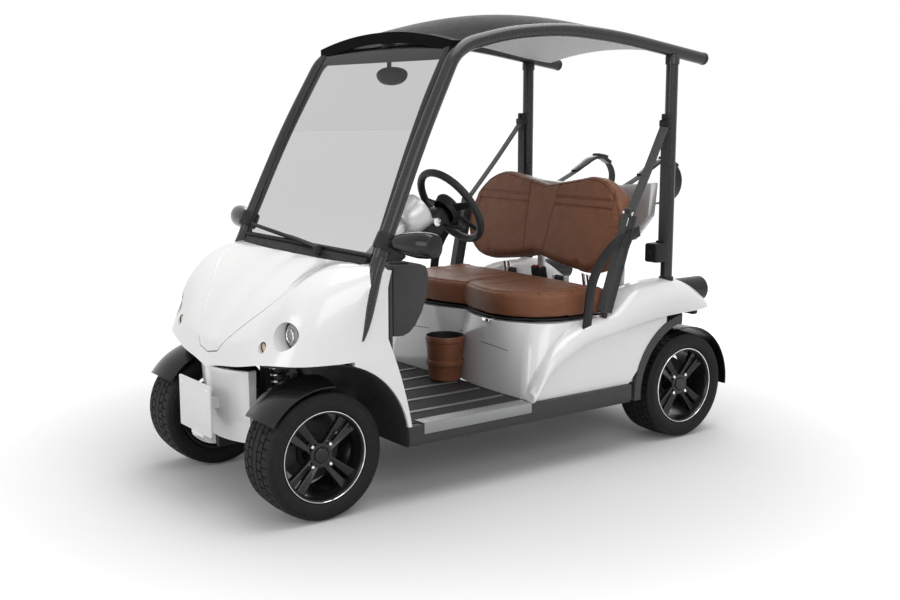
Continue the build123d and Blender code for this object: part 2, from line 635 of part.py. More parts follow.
def dash_solid():
    half = BODY_HALF_WIDTH - LEG_THICK - TOUCH
    back = fy(BODY_BACK + 30 + TOUCH)
    wall = block(-half, half, back, back + 16, 530, 856)
    shelf = yz_prism([(back + 16, 700), (back + 70, 760), (back + 76, 830), (back + 56, 856), (back + 16, 856)],
                     -POCKET_INNER + TOUCH, POCKET_INNER - TOUCH)
    return wall + shelf


def dashboard():
    save("dashboard", dash_solid())
    outline = [(fy(285), 614), (fy(285), POCKET_TOP - 8), (fy(300), POCKET_TOP), (fy(400), POCKET_TOP),
               (fy(422), 853), (fy(432), 832), (fy(434), 790), (fy(424), 738), (fy(404), 688), (fy(378), 646),
               (fy(352), 622), (fy(325), 612)]
    pocket = yz_prism(outline, POCKET_INNER, POCKET_OUTER)
    pocket -= Pos(CUP_X, fy(CUP_Y), POCKET_TOP - CUP_DEPTH / 2) * Cylinder(CUP_RADIUS, CUP_DEPTH + 1)
    save("side_pockets", both_sides(pocket))


COLUMN_X = 250
WHEEL_Y, WHEEL_Z = 712, 1035
COLUMN_TILT = 33              # steering column from the horizontal, in degrees
WHEEL_RADIUS = 154
RIM_TUBE = 15
SPOKE_TURNS = (-8, 45, 135, 188)   # degrees round the steering wheel from its right-hand side


def along_column(distance):
    """Point on the column's axis, its distance from the wheel's centre towards the dash."""
    tilt = math.radians(COLUMN_TILT)
    return (COLUMN_X, fy(WHEEL_Y) - distance * math.cos(tilt), WHEEL_Z - distance * math.sin(tilt))


def steering():
    centre = Vector(*along_column(0))
    wheel_plane = Plane(origin=centre, x_dir=(1, 0, 0), z_dir=Vector(*along_column(-1)) - centre)
    wheel = wheel_plane * Torus(WHEEL_RADIUS, RIM_TUBE)
    wheel += wheel_plane * Pos(0, 0, -22) * Cylinder(60, 34)
    for turn in SPOKE_TURNS:
        spoke = Pos(WHEEL_RADIUS / 2 + 8, 0, -11) * Box(WHEEL_RADIUS - 24, 30, 12)
        wheel += wheel_plane * Rot(0, 0, turn) * spoke
    save("steering_wheel", wheel)
    column = rod(along_column(45), along_column(470), 24)
    pod = Plane(origin=along_column(50), x_dir=(1, 0, 0), z_dir=wheel_plane.z_dir) * Pos(0, 0, -60) * Box(112, 92, 120)
    column += fillet(pod.edges(), 18)
    for side in (-1, 1):
        x, y, z = along_column(80)
        column += rod((x + side * 40, y, z), (x + side * 132, y + 16, z + 20), 6)
    column -= block(-600, 600, fy(0), fy(BODY_BACK + 46 + TOUCH), 0, 1200)
    column -= dash_solid()
    column = max(column.solids(), key=lambda piece: piece.volume)
    save("steering_column", column)
    far, near = (COLUMN_X, fy(480), 978), (COLUMN_X, fy(565), 1027)
    along = Vector(*near) - Vector(*far)
    gauge = loft([Plane(origin=far, x_dir=(1, 0, 0), z_dir=along) * Circle(62),
                  Plane(origin=near, x_dir=(1, 0, 0), z_dir=along) * Circle(74)])
    gauge += rod((COLUMN_X, fy(330), 845), (COLUMN_X, fy(500), 985), 28)
    gauge = gauge - column - dash_solid()
    save("instrument_pod", max(gauge.solids(), key=lambda piece: piece.volume))


def pedals():
    made = []
    for x, wide, low in ((205, 90, 330), (330, 60, 315)):
        arm = bar((x, fy(300), 520), (x, fy(352), low + 40), 16, 10)
        pad = bar((x, fy(340), low + 70), (x, fy(372), low), wide, 12)
        clevis = block(x - 16, x + 16, fy(BODY_BACK + 46 + TOUCH), fy(308), 532, 560)
        made.append(arm + pad + clevis + block(x - 8, x + 8, fy(292), fy(306), 505, 545))
    save("pedals", made)


# ---------------------------------------------------------------- seat base and rear body
HINGE_Y = SEAT_REAR + 14      # the seat's hinge line, behind the front axle
HINGE_Z = CUSHION_TOP
HINGE_PIN = 5
HINGE_LUGS = (112, 186)       # inner faces of the hinge lugs from the centre plane
HINGE_PLAY = 0.3
# Plan of the seat base: height, y at the middle, then x and y of the lobe, of the corner and of the side.
BASE_PLANS = (
    (SILL_TOP + TOUCH, 940, 215, 905, 430, 906, 500, 930),
    (430, 950, 215, 915, 420, 925, 500, 1000),
    (SEAT_DECK - 2, 978, 230, 912, 388, 965, 480, 1105),
)
BASE_BACK = 1500


def base_plan(z, notch, lobe_x, lobe_y, turn_x, turn_y, side_x, side_y, inset, extra=0):
    lobe = (lobe_x, ry(lobe_y + inset))
    hollow = (lobe_x / 2, ry(notch + (lobe_y - notch) * 0.75 + inset))
    swell = ((lobe_x + turn_x) / 2, ry((lobe_y + turn_y) / 2 - 1.5 - (turn_y - lobe_y) * 0.2 + inset))
    corner = (turn_x, ry(turn_y + inset))
    bend = (turn_x + (side_x - turn_x) * 0.72, ry(turn_y + (side_y - turn_y) * 0.36 + inset * 0.4))
    side = (side_x - inset, ry(side_y + inset * 0.5))
    back = ry(BASE_BACK - inset)
    middle = (0, ry(notch + inset))
    m = [(-x, y) for x, y in (lobe, hollow, swell, corner, bend, side)]
    edges = ThreePointArc(middle, hollow, lobe) + ThreePointArc(lobe, swell, corner) + ThreePointArc(corner, bend, side)
    edges += Polyline(side, (side[0], back), (-side[0], back), m[5]) + ThreePointArc(m[5], m[4], m[3])
    edges += ThreePointArc(m[3], m[2], m[0]) + ThreePointArc(m[0], m[1], middle)
    return Plane.XY.offset(z + extra) * make_face(edges)


def base_solid(inset, low_extra=0, high_extra=0):
    extras = (low_extra, 0, high_extra)
    return loft([base_plan(*row, inset, extra) for row, extra in zip(BASE_PLANS, extras)])


DECK_OPENING = (390, 1000, 1300)


def seat_base():
    outer = base_solid(0)
    made = outer - base_solid(PANEL, -5, -PANEL)
    half, front, back = DECK_OPENING
    made -= block(-half, half, ry(front), ry(back), 500, SEAT_DECK + 10)
    for side in (-1, 1):
        made -= x_disc(side * 300, side * 700, REAR_AXLE_Y, TYRE_RADIUS, ARCH_RADIUS)
        made -= block(side * (RAIL_X - 32), side * (RAIL_X + 32), ry(1400), ry(BASE_BACK + 10), 280, 440)
        for x in HINGE_LUGS:
            made += block(side * x, side * (x + 14), ry(HINGE_Y - 8), ry(HINGE_Y + 10), SEAT_DECK - 2, HINGE_Z + 9)
        pin = (side * HINGE_LUGS[0], ry(HINGE_Y), HINGE_Z), (side * (HINGE_LUGS[1] + 14), ry(HINGE_Y), HINGE_Z)
        made += rod(*pin, HINGE_PIN)
    save("seat_base", made)


# Rear wing sections across the cart: y, then x and z of the outer lip, shoulder, inner top, inner foot.
WING_SECTIONS = (
    (903, 535, 290, 532, 312, 502, 322, 502, 290),
    (950, 537, 345, 532, 392, 502, 400, 502, 330),
    (1010, 538, 408, 531, 461, 500, 480, 500, 400),
    (1085, 539, 455, 529, 507, 494, 530, 492, 440),
    (1180, 540, 492, 526, 549, 478, 562, 476, 470),
    (1310, 540, 515, 515, 577, 440, 572, 440, 500),
    (1410, 540, 531, 478, 655, 370, 600, 370, 520),
    (1560, 538, 549, 456, 698, 346, 610, 346, 540),
    (1700, 534, 555, 452, 696, 346, 600, 346, 545),
    (1800, 528, 556, 458, 668, 356, 596, 356, 548),
    (1890, 520, 562, 468, 608, 390, 580, 390, 554),
)
HOLLOW_FROM = 6               # the wing is hollow from this section to the last but one
# Corner between the wing's front edge and the seat base: height, then x and y of its four corners.
WING_CORNERS = (
    (SILL_TOP + TOUCH, (440, 915), (535, 895), (503, 960), (450, 960)),
    (345, (440, 920), (536, 922), (503, 985), (450, 985)),
    (400, (440, 935), (536, 958), (503, 1015), (450, 1015)),
    (455, (440, 960), (535, 1008), (503, 1060), (450, 1060)),
    (505, (450, 1010), (531, 1078), (500, 1125), (450, 1120)),
    (545, (465, 1090), (528, 1165), (496, 1210), (450, 1200)),
)

CANISTER_X, CANISTER_Z, CANISTER_RADIUS = 432, 630, 54
CANISTER_FRONT, CANISTER_REAR = 60, 238   # ends of the canisters behind the rear posts


def wing_section(row, inset):
    y, ax, az, mx, mz, cx, cz, ex, ez = row
    a, m, c, e = (ax - inset, az), (mx - inset * 0.3, mz - inset), (cx + inset, cz - inset * 0.6), (ex + inset, ez)
    return Plane.XZ.offset(-ry(y)) * make_face(ThreePointArc(a, m, c) + Polyline(c, e, a))


def rear_wings():
    outer = loft([wing_section(row, 0) for row in WING_SECTIONS])
    inner = loft([wing_section(row, PANEL) for row in WING_SECTIONS[HOLLOW_FROM:-1]])
    inner = inner + Pos(0, 0, -30) * inner
    side_outline = [(ry(925), SILL_TOP + TOUCH), (ry(SILL_REAR), SILL_TOP + TOUCH), (ry(1640), 500), (ry(1640), 570),
                    (ry(1382), 560), (ry(1230), 535), (ry(1120), 490), (ry(1040), 440), (ry(965), 360)]
    corner = loft([Plane.XY.offset(z) * make_face(Polyline(*[(x, ry(y)) for x, y in points], close=True))
                   for z, *points in WING_CORNERS], ruled=True)
    wing = (outer - inner) + yz_prism(side_outline, 502, 516) + corner
    wing -= x_disc(300, 700, REAR_AXLE_Y, TYRE_RADIUS, ARCH_RADIUS)
    wing -= rod((PILLAR_X, ry(POST_BEHIND), 400), (PILLAR_X, ry(POST_BEHIND), 800), ROOF_TUBE + TOUCH)
    start = ry(POST_BEHIND - 12)
    wing -= rod((CANISTER_X, start, CANISTER_Z), (CANISTER_X, start + 400, CANISTER_Z), CANISTER_RADIUS + TOUCH)
    wing -= cushion_outline(SEAT_DECK - 0.5, 760, MOVE_GAP)
    wing -= base_solid(-TOUCH)
    wing -= block(300, 700, ry(800), ry(2000), 0, SILL_TOP + TOUCH)
    wing = max(wing.solids(), key=lambda piece: piece.volume)
    save("rear_wings", both_sides(wing))
    return wing


def rear_fittings():
    front, rear = ry(POST_BEHIND + CANISTER_FRONT), ry(POST_BEHIND + CANISTER_REAR)
    canister = rod((CANISTER_X, front, CANISTER_Z), (CANISTER_X, rear, CANISTER_Z), CANISTER_RADIUS)
    canister = chamfer(canister.edges().filter_by(GeomType.CIRCLE), 6)
    save("rear_canisters", both_sides(canister))
    liner = x_ring(340, 500, REAR_AXLE_Y, TYRE_RADIUS, ARCH_RADIUS - LINER_GAP, ARCH_RADIUS - LINER_GAP - LINER_THICK)
    liner += x_ring(496, 521, REAR_AXLE_Y, TYRE_RADIUS, ARCH_RADIUS - LINER_GAP, ARCH_RADIUS - 36)
    liner &= block(200, 700, REAR_AXLE_Y - 400, REAR_AXLE_Y - 50, SILL_BOTTOM, 700)
    save("rear_arch_trims", both_sides(liner))
    shell = x_ring(TRACK_HALF - 95, TRACK_HALF + 95, REAR_AXLE_Y, TYRE_RADIUS, MUDGUARD_RADIUS, MUDGUARD_RADIUS - 4)
    shell &= yz_prism([(REAR_AXLE_Y - 80, TYRE_RADIUS + 400), (REAR_AXLE_Y, TYRE_RADIUS),
                       (REAR_AXLE_Y + 400, TYRE_RADIUS - 40), (REAR_AXLE_Y + 400, TYRE_RADIUS + 400)], 200, 700)
    stay_out = TRACK_HALF - TYRE_WIDTH / 2 - 5
    top = TYRE_RADIUS + MUDGUARD_RADIUS
    stay = block(stay_out - 16, stay_out, REAR_AXLE_Y - 12, REAR_AXLE_Y + 12, TYRE_RADIUS + AXLE_TUBE, top)
    stay += block(stay_out - 16, stay_out + 30, REAR_AXLE_Y - 12, REAR_AXLE_Y + 12, top - 5, top + 3)
    save("rear_mudguards", both_sides(shell + stay))


# Side view of a bag strap's loop: distance behind the front axle and height.
STRAP_ROUTE = ((1644, 1056), (1790, 1118), (1890, 1179), (1985, 1160), (2022, 1085), (1985, 1005), (1880, 985),
               (1644, 1000))
STRAP_X = 212


def bag_carrier():
    z, half, wall = 442, 290, 14
    front, back = ry(1530), ry(1985)
    tray = block(-half, half, front, back, z, z + 14)
    tray += block(-half, half, front, front + wall, z, z + 110)
    tray += block(-half, half, back - wall, back, z, z + 60)
    for side in (-1, 1):
        tray += block(side * (half - wall), side * half, front, back, z, z + 60)
    save("bag_tray", tray)
    half_outline = [(330, 850), (430, 960), (446, 1100), (250, 1080)]
    outline = half_outline + [(0, 1070)] + [(-x, z) for x, z in reversed(half_outline)]
    panel = xz_prism(outline, ry(1600), ry(1640))
    for side in (-1, 1):
        panel += block(side * 260 - 14, side * 260 + 14, ry(1604), ry(1632), z + 14, 900)
    save("bag_panel", panel)
    loops = []
    for side in (-1, 1):
        x = side * STRAP_X
        loop = bent([(x, ry(y), z) for y, z in STRAP_ROUTE], Rectangle(42, 5))
        pad = Plane(origin=(x, ry(1936), 1169), x_dir=(1, 0, 0), z_dir=(0, 0.2, 1)) * Box(52, 74, 24)
        loops.append(loop + pad)
    save("bag_straps", loops)


# ---------------------------------------------------------------- seat
LOBE_X = 235
LOBE_NOTCH = 62               # how far the front of the cushion steps back in the middle


def cushion_outline(z0, z1, grow):
    """Two-lobed plan of the cushion, drawn up from z0 to z1."""
    half, front, rear = CUSHION_HALF + grow, ry(SEAT_FRONT - grow), ry(SEAT_REAR + grow)
    notch = ry(SEAT_FRONT + LOBE_NOTCH - grow)
    side = (half, ry(SEAT_FRONT + 240))
    bend = (half - 70, ry(SEAT_FRONT + 72 - grow))
    lobe_in = (110, ry(SEAT_FRONT + 18 - grow))
    lobe = (LOBE_X + 20, front)
    m = [(-x, y) for x, y in (side, bend, lobe, lobe_in)]
    edges = ThreePointArc(side, bend, lobe) + ThreePointArc(lobe, lobe_in, (0, notch))
    edges += ThreePointArc((0, notch), m[3], m[2]) + ThreePointArc(m[2], m[1], m[0])
    edges += Polyline(m[0], (-half, rear), (half, rear), side)
    return extrude(Plane.XY.offset(z0) * make_face(edges), amount=z1 - z0)


BACK_LEAN = 0.24              # run of the backrest's front face per millimetre of height
BACK_LOW, BACK_HIGH = 729, 1152
BACK_THICK = 95
BACK_FOOT = 1331              # front face at the backrest's lower edge, behind the front axle
BACK_POST_X = 262


def backrest_solid():
    half = BACKREST_HALF
    hump, lobe = 260, 274
    edges = ThreePointArc((0, 1108), (130, 1128), (hump, BACK_HIGH))
    edges += ThreePointArc((hump, BACK_HIGH), (430, 1095), (half, 940))
    edges += ThreePointArc((half, 940), (470, 800), (lobe + 60, BACK_LOW))
    edges += ThreePointArc((lobe + 60, BACK_LOW), (190, 742), (0, 776))
    face = make_face(edges + Line((0, 776), (0, 1108)))
    flat = face + mirror(face, Plane.YZ)
    lean = Plane(origin=(0, ry(BACK_FOOT), BACK_LOW), x_dir=(1, 0, 0), z_dir=(0, -1, BACK_LEAN))
    return extrude(lean * Pos(0, -BACK_LOW, 0) * flat, amount=-BACK_THICK)


RESTRAINT_ROUTE = ((519, 1180, 530), (527, 1196, 740), (539, 1280, 868), (539, 1440, 918))


def seat(wing):
    cushion = cushion_outline(SEAT_DECK + 12, CUSHION_TOP, 0)
    cushion = fillet(cushion.edges().group_by(Axis.Z)[-1], 18)
    save("seat_cushion", cushion)
    pan = cushion_outline(SEAT_DECK + 5, SEAT_DECK + 12 - TOUCH, -30)
    for side in (-1, 1):
        near, far = side * (HINGE_LUGS[0] + 14 + 3), side * (HINGE_LUGS[1] - 3)
        pan += block(near, far, ry(SEAT_REAR - 50), ry(HINGE_Y - 3), SEAT_DECK + 5, SEAT_DECK + 10)
        pan += block(near, far, ry(SEAT_REAR + 3), ry(HINGE_Y - 3), SEAT_DECK + 5, HINGE_Z)
        pan += rod((near, ry(HINGE_Y), HINGE_Z), (far, ry(HINGE_Y), HINGE_Z), HINGE_PIN + 5)
        pan -= rod((near - side, ry(HINGE_Y), HINGE_Z), (far + side, ry(HINGE_Y), HINGE_Z), HINGE_PIN + HINGE_PLAY)
    save("seat_pan", pan)
    back = backrest_solid()
    save("backrest", back)
    posts, start = [], ry(BASE_BACK - 60)
    for side in (-1, 1):
        for x in (side * BACK_POST_X - 14, side * BACK_POST_X + 14):
            post = rod((x, start, SEAT_DECK - 30), (x, ry(BACK_FOOT + 70), BACK_LOW + 40), 8) - back
            posts.append(post - block(-600, 600, start - 100, start + 100, 400, SEAT_DECK - 2))
    save("backrest_posts", [min(post.solids(), key=lambda piece: piece.center().Z) for post in posts])
    arm = bent([(x, ry(y), z) for x, y, z in RESTRAINT_ROUTE], Rectangle(8, 42))
    arm += rod((BACKREST_HALF - 1, ry(1425), 913), (539, ry(1425), 913), 12) - back
    arm = max((arm - wing).solids(), key=lambda piece: piece.volume)
    save("hip_restraints", both_sides(arm))


BELT_WIDE, BELT_THICK = 46, 3
BELT_X = PILLAR_X + 6
RING_BEFORE_POST = 36         # belts hang this far ahead of the rear posts
RING_Z = 1342
REEL_LOW, REEL_TOP = 770, 850
BELT_FOOT = (505, 1290, 604)  # lower end of a belt: x, distance behind the front axle, height


def belts(wing):
    """Two shoulder belts, each with its ring, reel, buckle and the anchor bolted to the rear wing."""
    made, fittings = [], []
    hang, post_face = ry(POST_BEHIND - RING_BEFORE_POST), ry(POST_BEHIND) - ROOF_TUBE
    ring = (BELT_X, hang, RING_Z)
    tongue = (530, ry(1392), 985)
    x, y, z = BELT_FOOT
    anchor = (x, ry(y), z)
    foot = rod((x, ry(y), 540), (x, ry(y), z - 6), 9) - wing
    fittings += both_sides(max(foot.solids(), key=lambda piece: piece.center().Z))
    for name, side in SIDES:
        r, t, a = [(side * x, y, z) for x, y, z in (ring, tongue, anchor)]
        low = (side * BELT_X, hang, REEL_TOP)
        belt = bar(r, t, BELT_WIDE, BELT_THICK) + bar(r, low, BELT_WIDE, BELT_THICK)
        made.append(belt + bar(t, a, BELT_THICK, BELT_WIDE))
        guide = block(r[0] - 26, r[0] + 26, hang - 12, post_face, RING_Z - 12, RING_Z + 14)
        fittings.append(guide - made[-1])
        fittings.append(block(side * 425, side * 498, post_face - 81, post_face, REEL_LOW, REEL_TOP))
        buckle = bar((side * 26, ry(1400), SEAT_DECK + 1), (side * 24, ry(1376), 722), 24, 40, (0, 1, 0))
        fittings.append(buckle)
    save("belts", made)
    save("belt_fittings", fittings)


BIN_FOOT, BIN_MOUTH, BIN_HEIGHT = 69, 82, 184   # radii at the foot and the mouth, and the height
BIN_WALL = 8
BIN_AT = (10, ry(DECK_FRONT - 38), FLOOR_TOP + 9.5)


def litter_bin():
    x, y, z = BIN_AT
    outer = Pos(x, y, z + BIN_HEIGHT / 2) * Cone(BIN_FOOT, BIN_MOUTH, BIN_HEIGHT)
    inner = Pos(x, y, z + BIN_HEIGHT / 2 + BIN_WALL) * Cone(BIN_FOOT - BIN_WALL, BIN_MOUTH - BIN_WALL, BIN_HEIGHT)
    save("bin", outer - inner)


# ---------------------------------------------------------------- running gear
ARM_ROOT_X = 165
SHOCK_X = 236
SHOCK_RADIUS = 22


def cut_level(shape, z0, z1):
    """The part of a shape between two heights."""
    return shape & block(-1000, 1000, fy(-1000), ry(3000), z0, z1)


def front_suspension():
    low = TYRE_RADIUS - KNUCKLE_HALF_HEIGHT - ARM_GAP - ARM_THICK
    high = TYRE_RADIUS + KNUCKLE_HALF_HEIGHT + ARM_GAP
    made = []
    for name, side in SIDES:
        for z in (low, high):
            eye = Pos(side * KINGPIN_X, FRONT_AXLE_Y, z + ARM_THICK / 2) * Cylinder(19, ARM_THICK)
            for reach in (-1, 1):
                start = (side * ARM_ROOT_X, fy(reach * 80), z + ARM_THICK / 2)
                end = (side * KINGPIN_X, FRONT_AXLE_Y, z + ARM_THICK / 2)
                eye += bar(start, end, ARM_THICK, 26, (0, 0, 1))
            if z == low:
                eye += block(side * (SHOCK_X - 24), side * (SHOCK_X + 24), fy(-50), fy(50), z, z + ARM_THICK)
            eye -= Pos(side * KINGPIN_X, FRONT_AXLE_Y, z + ARM_THICK / 2) * Cylinder(PIN_RADIUS + 0.6, ARM_THICK * 2)
            made.append(eye)
        made.append(block(side * ARM_ROOT_X, side * (ARM_ROOT_X - 20), fy(-92), fy(92), low - 4, high + ARM_THICK + 4))
    save("front_suspension", made)
    shocks = []
    for name, side in SIDES:
        foot, head = (side * SHOCK_X, fy(0), low), (side * 188, fy(-10), SHOCK_HEAD + 20)
        shocks.append(cut_level(rod(foot, head, SHOCK_RADIUS), low + ARM_THICK, SHOCK_HEAD))
    for name, side in SIDES:
        post = rod((side * RAIL_X, REAR_AXLE_Y, TYRE_RADIUS), (side * RAIL_X, REAR_AXLE_Y, 398), SHOCK_RADIUS + 2)
        shocks.append(cut_level(post, TYRE_RADIUS + AXLE_TUBE + TOUCH, 398))
    save("shock_absorbers", shocks)


def rear_drive():
    """Rear axle with its casing, final drive, motor, brake calipers and trailing arms."""
    axle = x_disc(-314, 314, REAR_AXLE_Y, TYRE_RADIUS, AXLE_TUBE)
    axle += x_disc(-442, 442, REAR_AXLE_Y, TYRE_RADIUS, STUB_RADIUS)
    axle += block(-110, 110, REAR_AXLE_Y - 95, REAR_AXLE_Y + 95, TYRE_RADIUS - 80, TYRE_RADIUS + 90)
    for name, side in SIDES:
        axle += block(side * 300, side * 372, REAR_AXLE_Y - CALIPER_INNER - 8, REAR_AXLE_Y,
                      TYRE_RADIUS - 20, TYRE_RADIUS + 20)
        axle += caliper(REAR_AXLE_Y, side * TRACK_HALF, side)
        axle += block(side * 180, side * 214, ry(1440), REAR_AXLE_Y, TYRE_RADIUS + 4, TYRE_RADIUS + 36)
    axle += block(-105, 105, ry(1520), REAR_AXLE_Y - 95, TYRE_RADIUS - 60, TYRE_RADIUS + 60)
    save("rear_axle", axle)
    save("batteries", block(-330, 330, ry(985), ry(1340), FLOOR_TOP - 18, 500))


wheels()
knuckles()
front_body()
lamps()
bumper()
arch_liners()
chassis()
floor()
sills()
cowl()
glass()
roof()
mirrors()
dashboard()
steering()
pedals()
seat_base()
wing = rear_wings()
rear_fittings()
bag_carrier()
seat(wing)
belts(wing)
litter_bin()
front_suspension()
rear_drive()
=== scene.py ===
import math

import bmesh
import bpy
import numpy as np
from mathutils import Matrix, Vector


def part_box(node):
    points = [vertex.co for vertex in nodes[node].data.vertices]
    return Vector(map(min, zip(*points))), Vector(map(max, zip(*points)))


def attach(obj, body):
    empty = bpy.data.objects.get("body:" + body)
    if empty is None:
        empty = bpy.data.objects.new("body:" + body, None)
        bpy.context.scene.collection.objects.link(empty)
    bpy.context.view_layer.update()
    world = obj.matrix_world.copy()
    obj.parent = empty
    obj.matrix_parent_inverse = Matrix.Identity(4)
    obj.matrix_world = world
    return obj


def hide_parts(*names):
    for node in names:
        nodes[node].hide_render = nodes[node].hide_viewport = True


# Looks of a two-seat golf cart. Places are given in millimetres as x, distance behind the front axle,
# and height; at() turns them into the frame's metres. The cart faces -Y and its left side is +X.

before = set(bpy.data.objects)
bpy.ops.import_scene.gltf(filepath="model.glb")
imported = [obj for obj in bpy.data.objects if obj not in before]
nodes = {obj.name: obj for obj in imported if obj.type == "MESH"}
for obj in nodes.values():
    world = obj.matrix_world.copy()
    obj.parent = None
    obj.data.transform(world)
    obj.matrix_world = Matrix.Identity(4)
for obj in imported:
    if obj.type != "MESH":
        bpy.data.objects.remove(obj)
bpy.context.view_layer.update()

FRONT_AXLE = -0.893
REAR_AXLE = 0.887
TYRE_RADIUS = 228
TRACK_HALF = 412
SIDES = (("left", 1), ("right", -1))


def at(x, behind, z):
    return Vector((x / 1000, FRONT_AXLE + behind / 1000, z / 1000))


# ---------------------------------------------------------------- shared helpers
def add_object(name, data):
    obj = bpy.data.objects.new(name, data)
    bpy.context.scene.collection.objects.link(obj)
    return obj


def aim(obj, direction):
    """Turns a lamp or camera to look along a direction."""
    obj.rotation_mode = "QUATERNION"
    obj.rotation_quaternion = direction.to_track_quat("-Z", "Y")


def weld(mesh, distance):
    """Joins points closer than the distance and turns all faces outwards."""
    bm = bmesh.new()
    bm.from_mesh(mesh)
    bmesh.ops.remove_doubles(bm, verts=bm.verts[:], dist=distance)
    bmesh.ops.recalc_face_normals(bm, faces=bm.faces[:])
    bm.to_mesh(mesh)
    bm.free()


def set_values(node, values):
    for socket, value in values.items():
        node.inputs[socket].default_value = value


def add_node(tree, kind, values, links):
    """Shader node of a kind, with values and linked outputs given by the names of its inputs."""
    node = tree.nodes.new("ShaderNode" + kind)
    set_values(node, values)
    for socket, output in links.items():
        tree.links.new(output, node.inputs[socket])
    return node


# ---------------------------------------------------------------- materials
COAT_ROUGHNESS = 0.03
NOISE_LOW, NOISE_HIGH = 0.3, 0.7            # the part of a noise's range that is used
EDGE_LOW, EDGE_HIGH = 0.51, 0.6             # pointiness where an edge starts to wear, and where it is worn
PORE_EDGE = 0.12
BUMP_DEPTH = 0.0005


def make_material(name, color, rough, metal=0.0, coat=0.0, ior=1.5, alpha=1.0, sheen=0.0, shine=0.5,
                  mottle=0.0, mottle_size=60.0, grain=0.0, grain_size=900.0, pores=0.0, pore_size=600.0,
                  rough_change=0.0, wear=0.0, stretch=(1, 1, 1)):
    """Principled surface with procedural colour change, roughness change, grain, pores and edge wear."""
    mat = bpy.data.materials.new(name)
    mat.use_nodes = True
    tree = mat.node_tree
    link = tree.links.new
    bsdf = tree.nodes["Principled BSDF"]
    set_values(bsdf, {"Base Color": (*color, 1), "Roughness": rough, "Metallic": metal, "Coat Weight": coat,
                      "Coat Roughness": COAT_ROUGHNESS, "IOR": ior, "Alpha": alpha, "Sheen Weight": sheen,
                      "Specular IOR Level": shine})
    coord = tree.nodes.new("ShaderNodeTexCoord")
    place = add_node(tree, "Mapping", {"Scale": stretch},
                     {"Vector": coord.outputs["Object"]}).outputs["Vector"]

    def noise(size, detail=3.0):
        return add_node(tree, "TexNoise", {"Scale": size, "Detail": detail}, {"Vector": place}).outputs["Fac"]

    def spread(value, low, high):
        span = {"From Min": NOISE_LOW, "From Max": NOISE_HIGH, "To Min": low, "To Max": high}
        return add_node(tree, "MapRange", span, {"Value": value}).outputs["Result"]

    def mix(first, second, factor):
        node = tree.nodes.new("ShaderNodeMix")
        node.data_type = "RGBA"
        set_values(node, {"A": (*first, 1), "B": (*second, 1)})
        link(factor, node.inputs["Factor"])
        return node

    colour = None
    if mottle:
        light = [min(1.0, c * (1 + mottle)) for c in color]
        dark = [c * (1 - mottle) for c in color]
        colour = mix(dark, light, spread(noise(mottle_size), 0, 1)).outputs["Result"]
    if wear:
        geometry = tree.nodes.new("ShaderNodeNewGeometry")
        edge = add_node(tree, "MapRange", {"From Min": EDGE_LOW, "From Max": EDGE_HIGH},
                        {"Value": geometry.outputs["Pointiness"]})
        worn = mix(color, [min(1.0, c + wear) for c in color], edge.outputs["Result"])
        if colour:
            link(colour, worn.inputs["A"])
        colour = worn.outputs["Result"]
    if colour:
        link(colour, bsdf.inputs["Base Color"])
    if rough_change:
        link(spread(noise(mottle_size * 1.7), rough - rough_change, rough + rough_change),
             bsdf.inputs["Roughness"])
    height = None
    if grain:
        height = noise(grain_size, 2.0)
    if pores:
        cells = tree.nodes.new("ShaderNodeTexVoronoi")
        cells.feature = "DISTANCE_TO_EDGE"
        cells.inputs["Scale"].default_value = pore_size
        link(place, cells.inputs["Vector"])
        dip = add_node(tree, "MapRange", {"From Max": PORE_EDGE}, {"Value": cells.outputs["Distance"]})
        height = dip.outputs["Result"]
    if height:
        bump = add_node(tree, "Bump", {"Strength": max(grain, pores), "Distance": BUMP_DEPTH},
                        {"Height": height})
        link(bump.outputs["Normal"], bsdf.inputs["Normal"])
    return mat


WHITE = make_material("paint_white", (0.8, 0.8, 0.795), 0.22, coat=0.6, mottle=0.012, mottle_size=4,
                      rough_change=0.03, grain=0.02, grain_size=500)
BLACK_GLOSS = make_material("black_gloss", (0.008, 0.008, 0.0085), 0.2, shine=0.25, coat=0.12, mottle=0.2,
                            mottle_size=20, rough_change=0.03, grain=0.02)
ROOF_BLACK = make_material("roof_black", (0.006, 0.006, 0.0065), 0.42, shine=0.012, mottle=0.2,
                           mottle_size=20, rough_change=0.03, grain=0.02)
TRIM = make_material("black_trim", (0.013, 0.013, 0.0135), 0.5, shine=0.2, mottle=0.15, mottle_size=30,
                     grain=0.25, grain_size=1500, rough_change=0.05, wear=0.01)
GREY_TRIM = make_material("grey_trim", (0.04, 0.04, 0.0415), 0.55, shine=0.25, mottle=0.08, mottle_size=25,
                          grain=0.4, grain_size=1400, rough_change=0.05, wear=0.015)
FRAME_BLACK = make_material("frame_black", (0.022, 0.022, 0.023), 0.26, shine=0.3, coat=0.15, mottle=0.1,
                            grain=0.04, grain_size=500, rough_change=0.04)
METAL_DARK = make_material("metal_dark", (0.016, 0.016, 0.017), 0.46, shine=0.2, mottle=0.2, mottle_size=12,
                           grain=0.25, rough_change=0.08, wear=0.02)
STEEL = make_material("steel", (0.6, 0.6, 0.61), 0.22, metal=1.0, mottle=0.05, rough_change=0.06, grain=0.08)
CHROME = make_material("chrome", (0.83, 0.83, 0.84), 0.07, metal=1.0, mottle=0.02, rough_change=0.02)
BRUSHED = make_material("brushed_aluminium", (0.24, 0.243, 0.246), 0.46, metal=1.0, mottle=0.06,
                        mottle_size=80, grain=0.3, grain_size=160, rough_change=0.08, stretch=(14, 0.6, 14),
                        wear=0.1)
SILVER = make_material("silver_paint", (0.6, 0.605, 0.61), 0.34, metal=0.35, coat=0.3, mottle=0.05,
                       grain=0.05, rough_change=0.04)
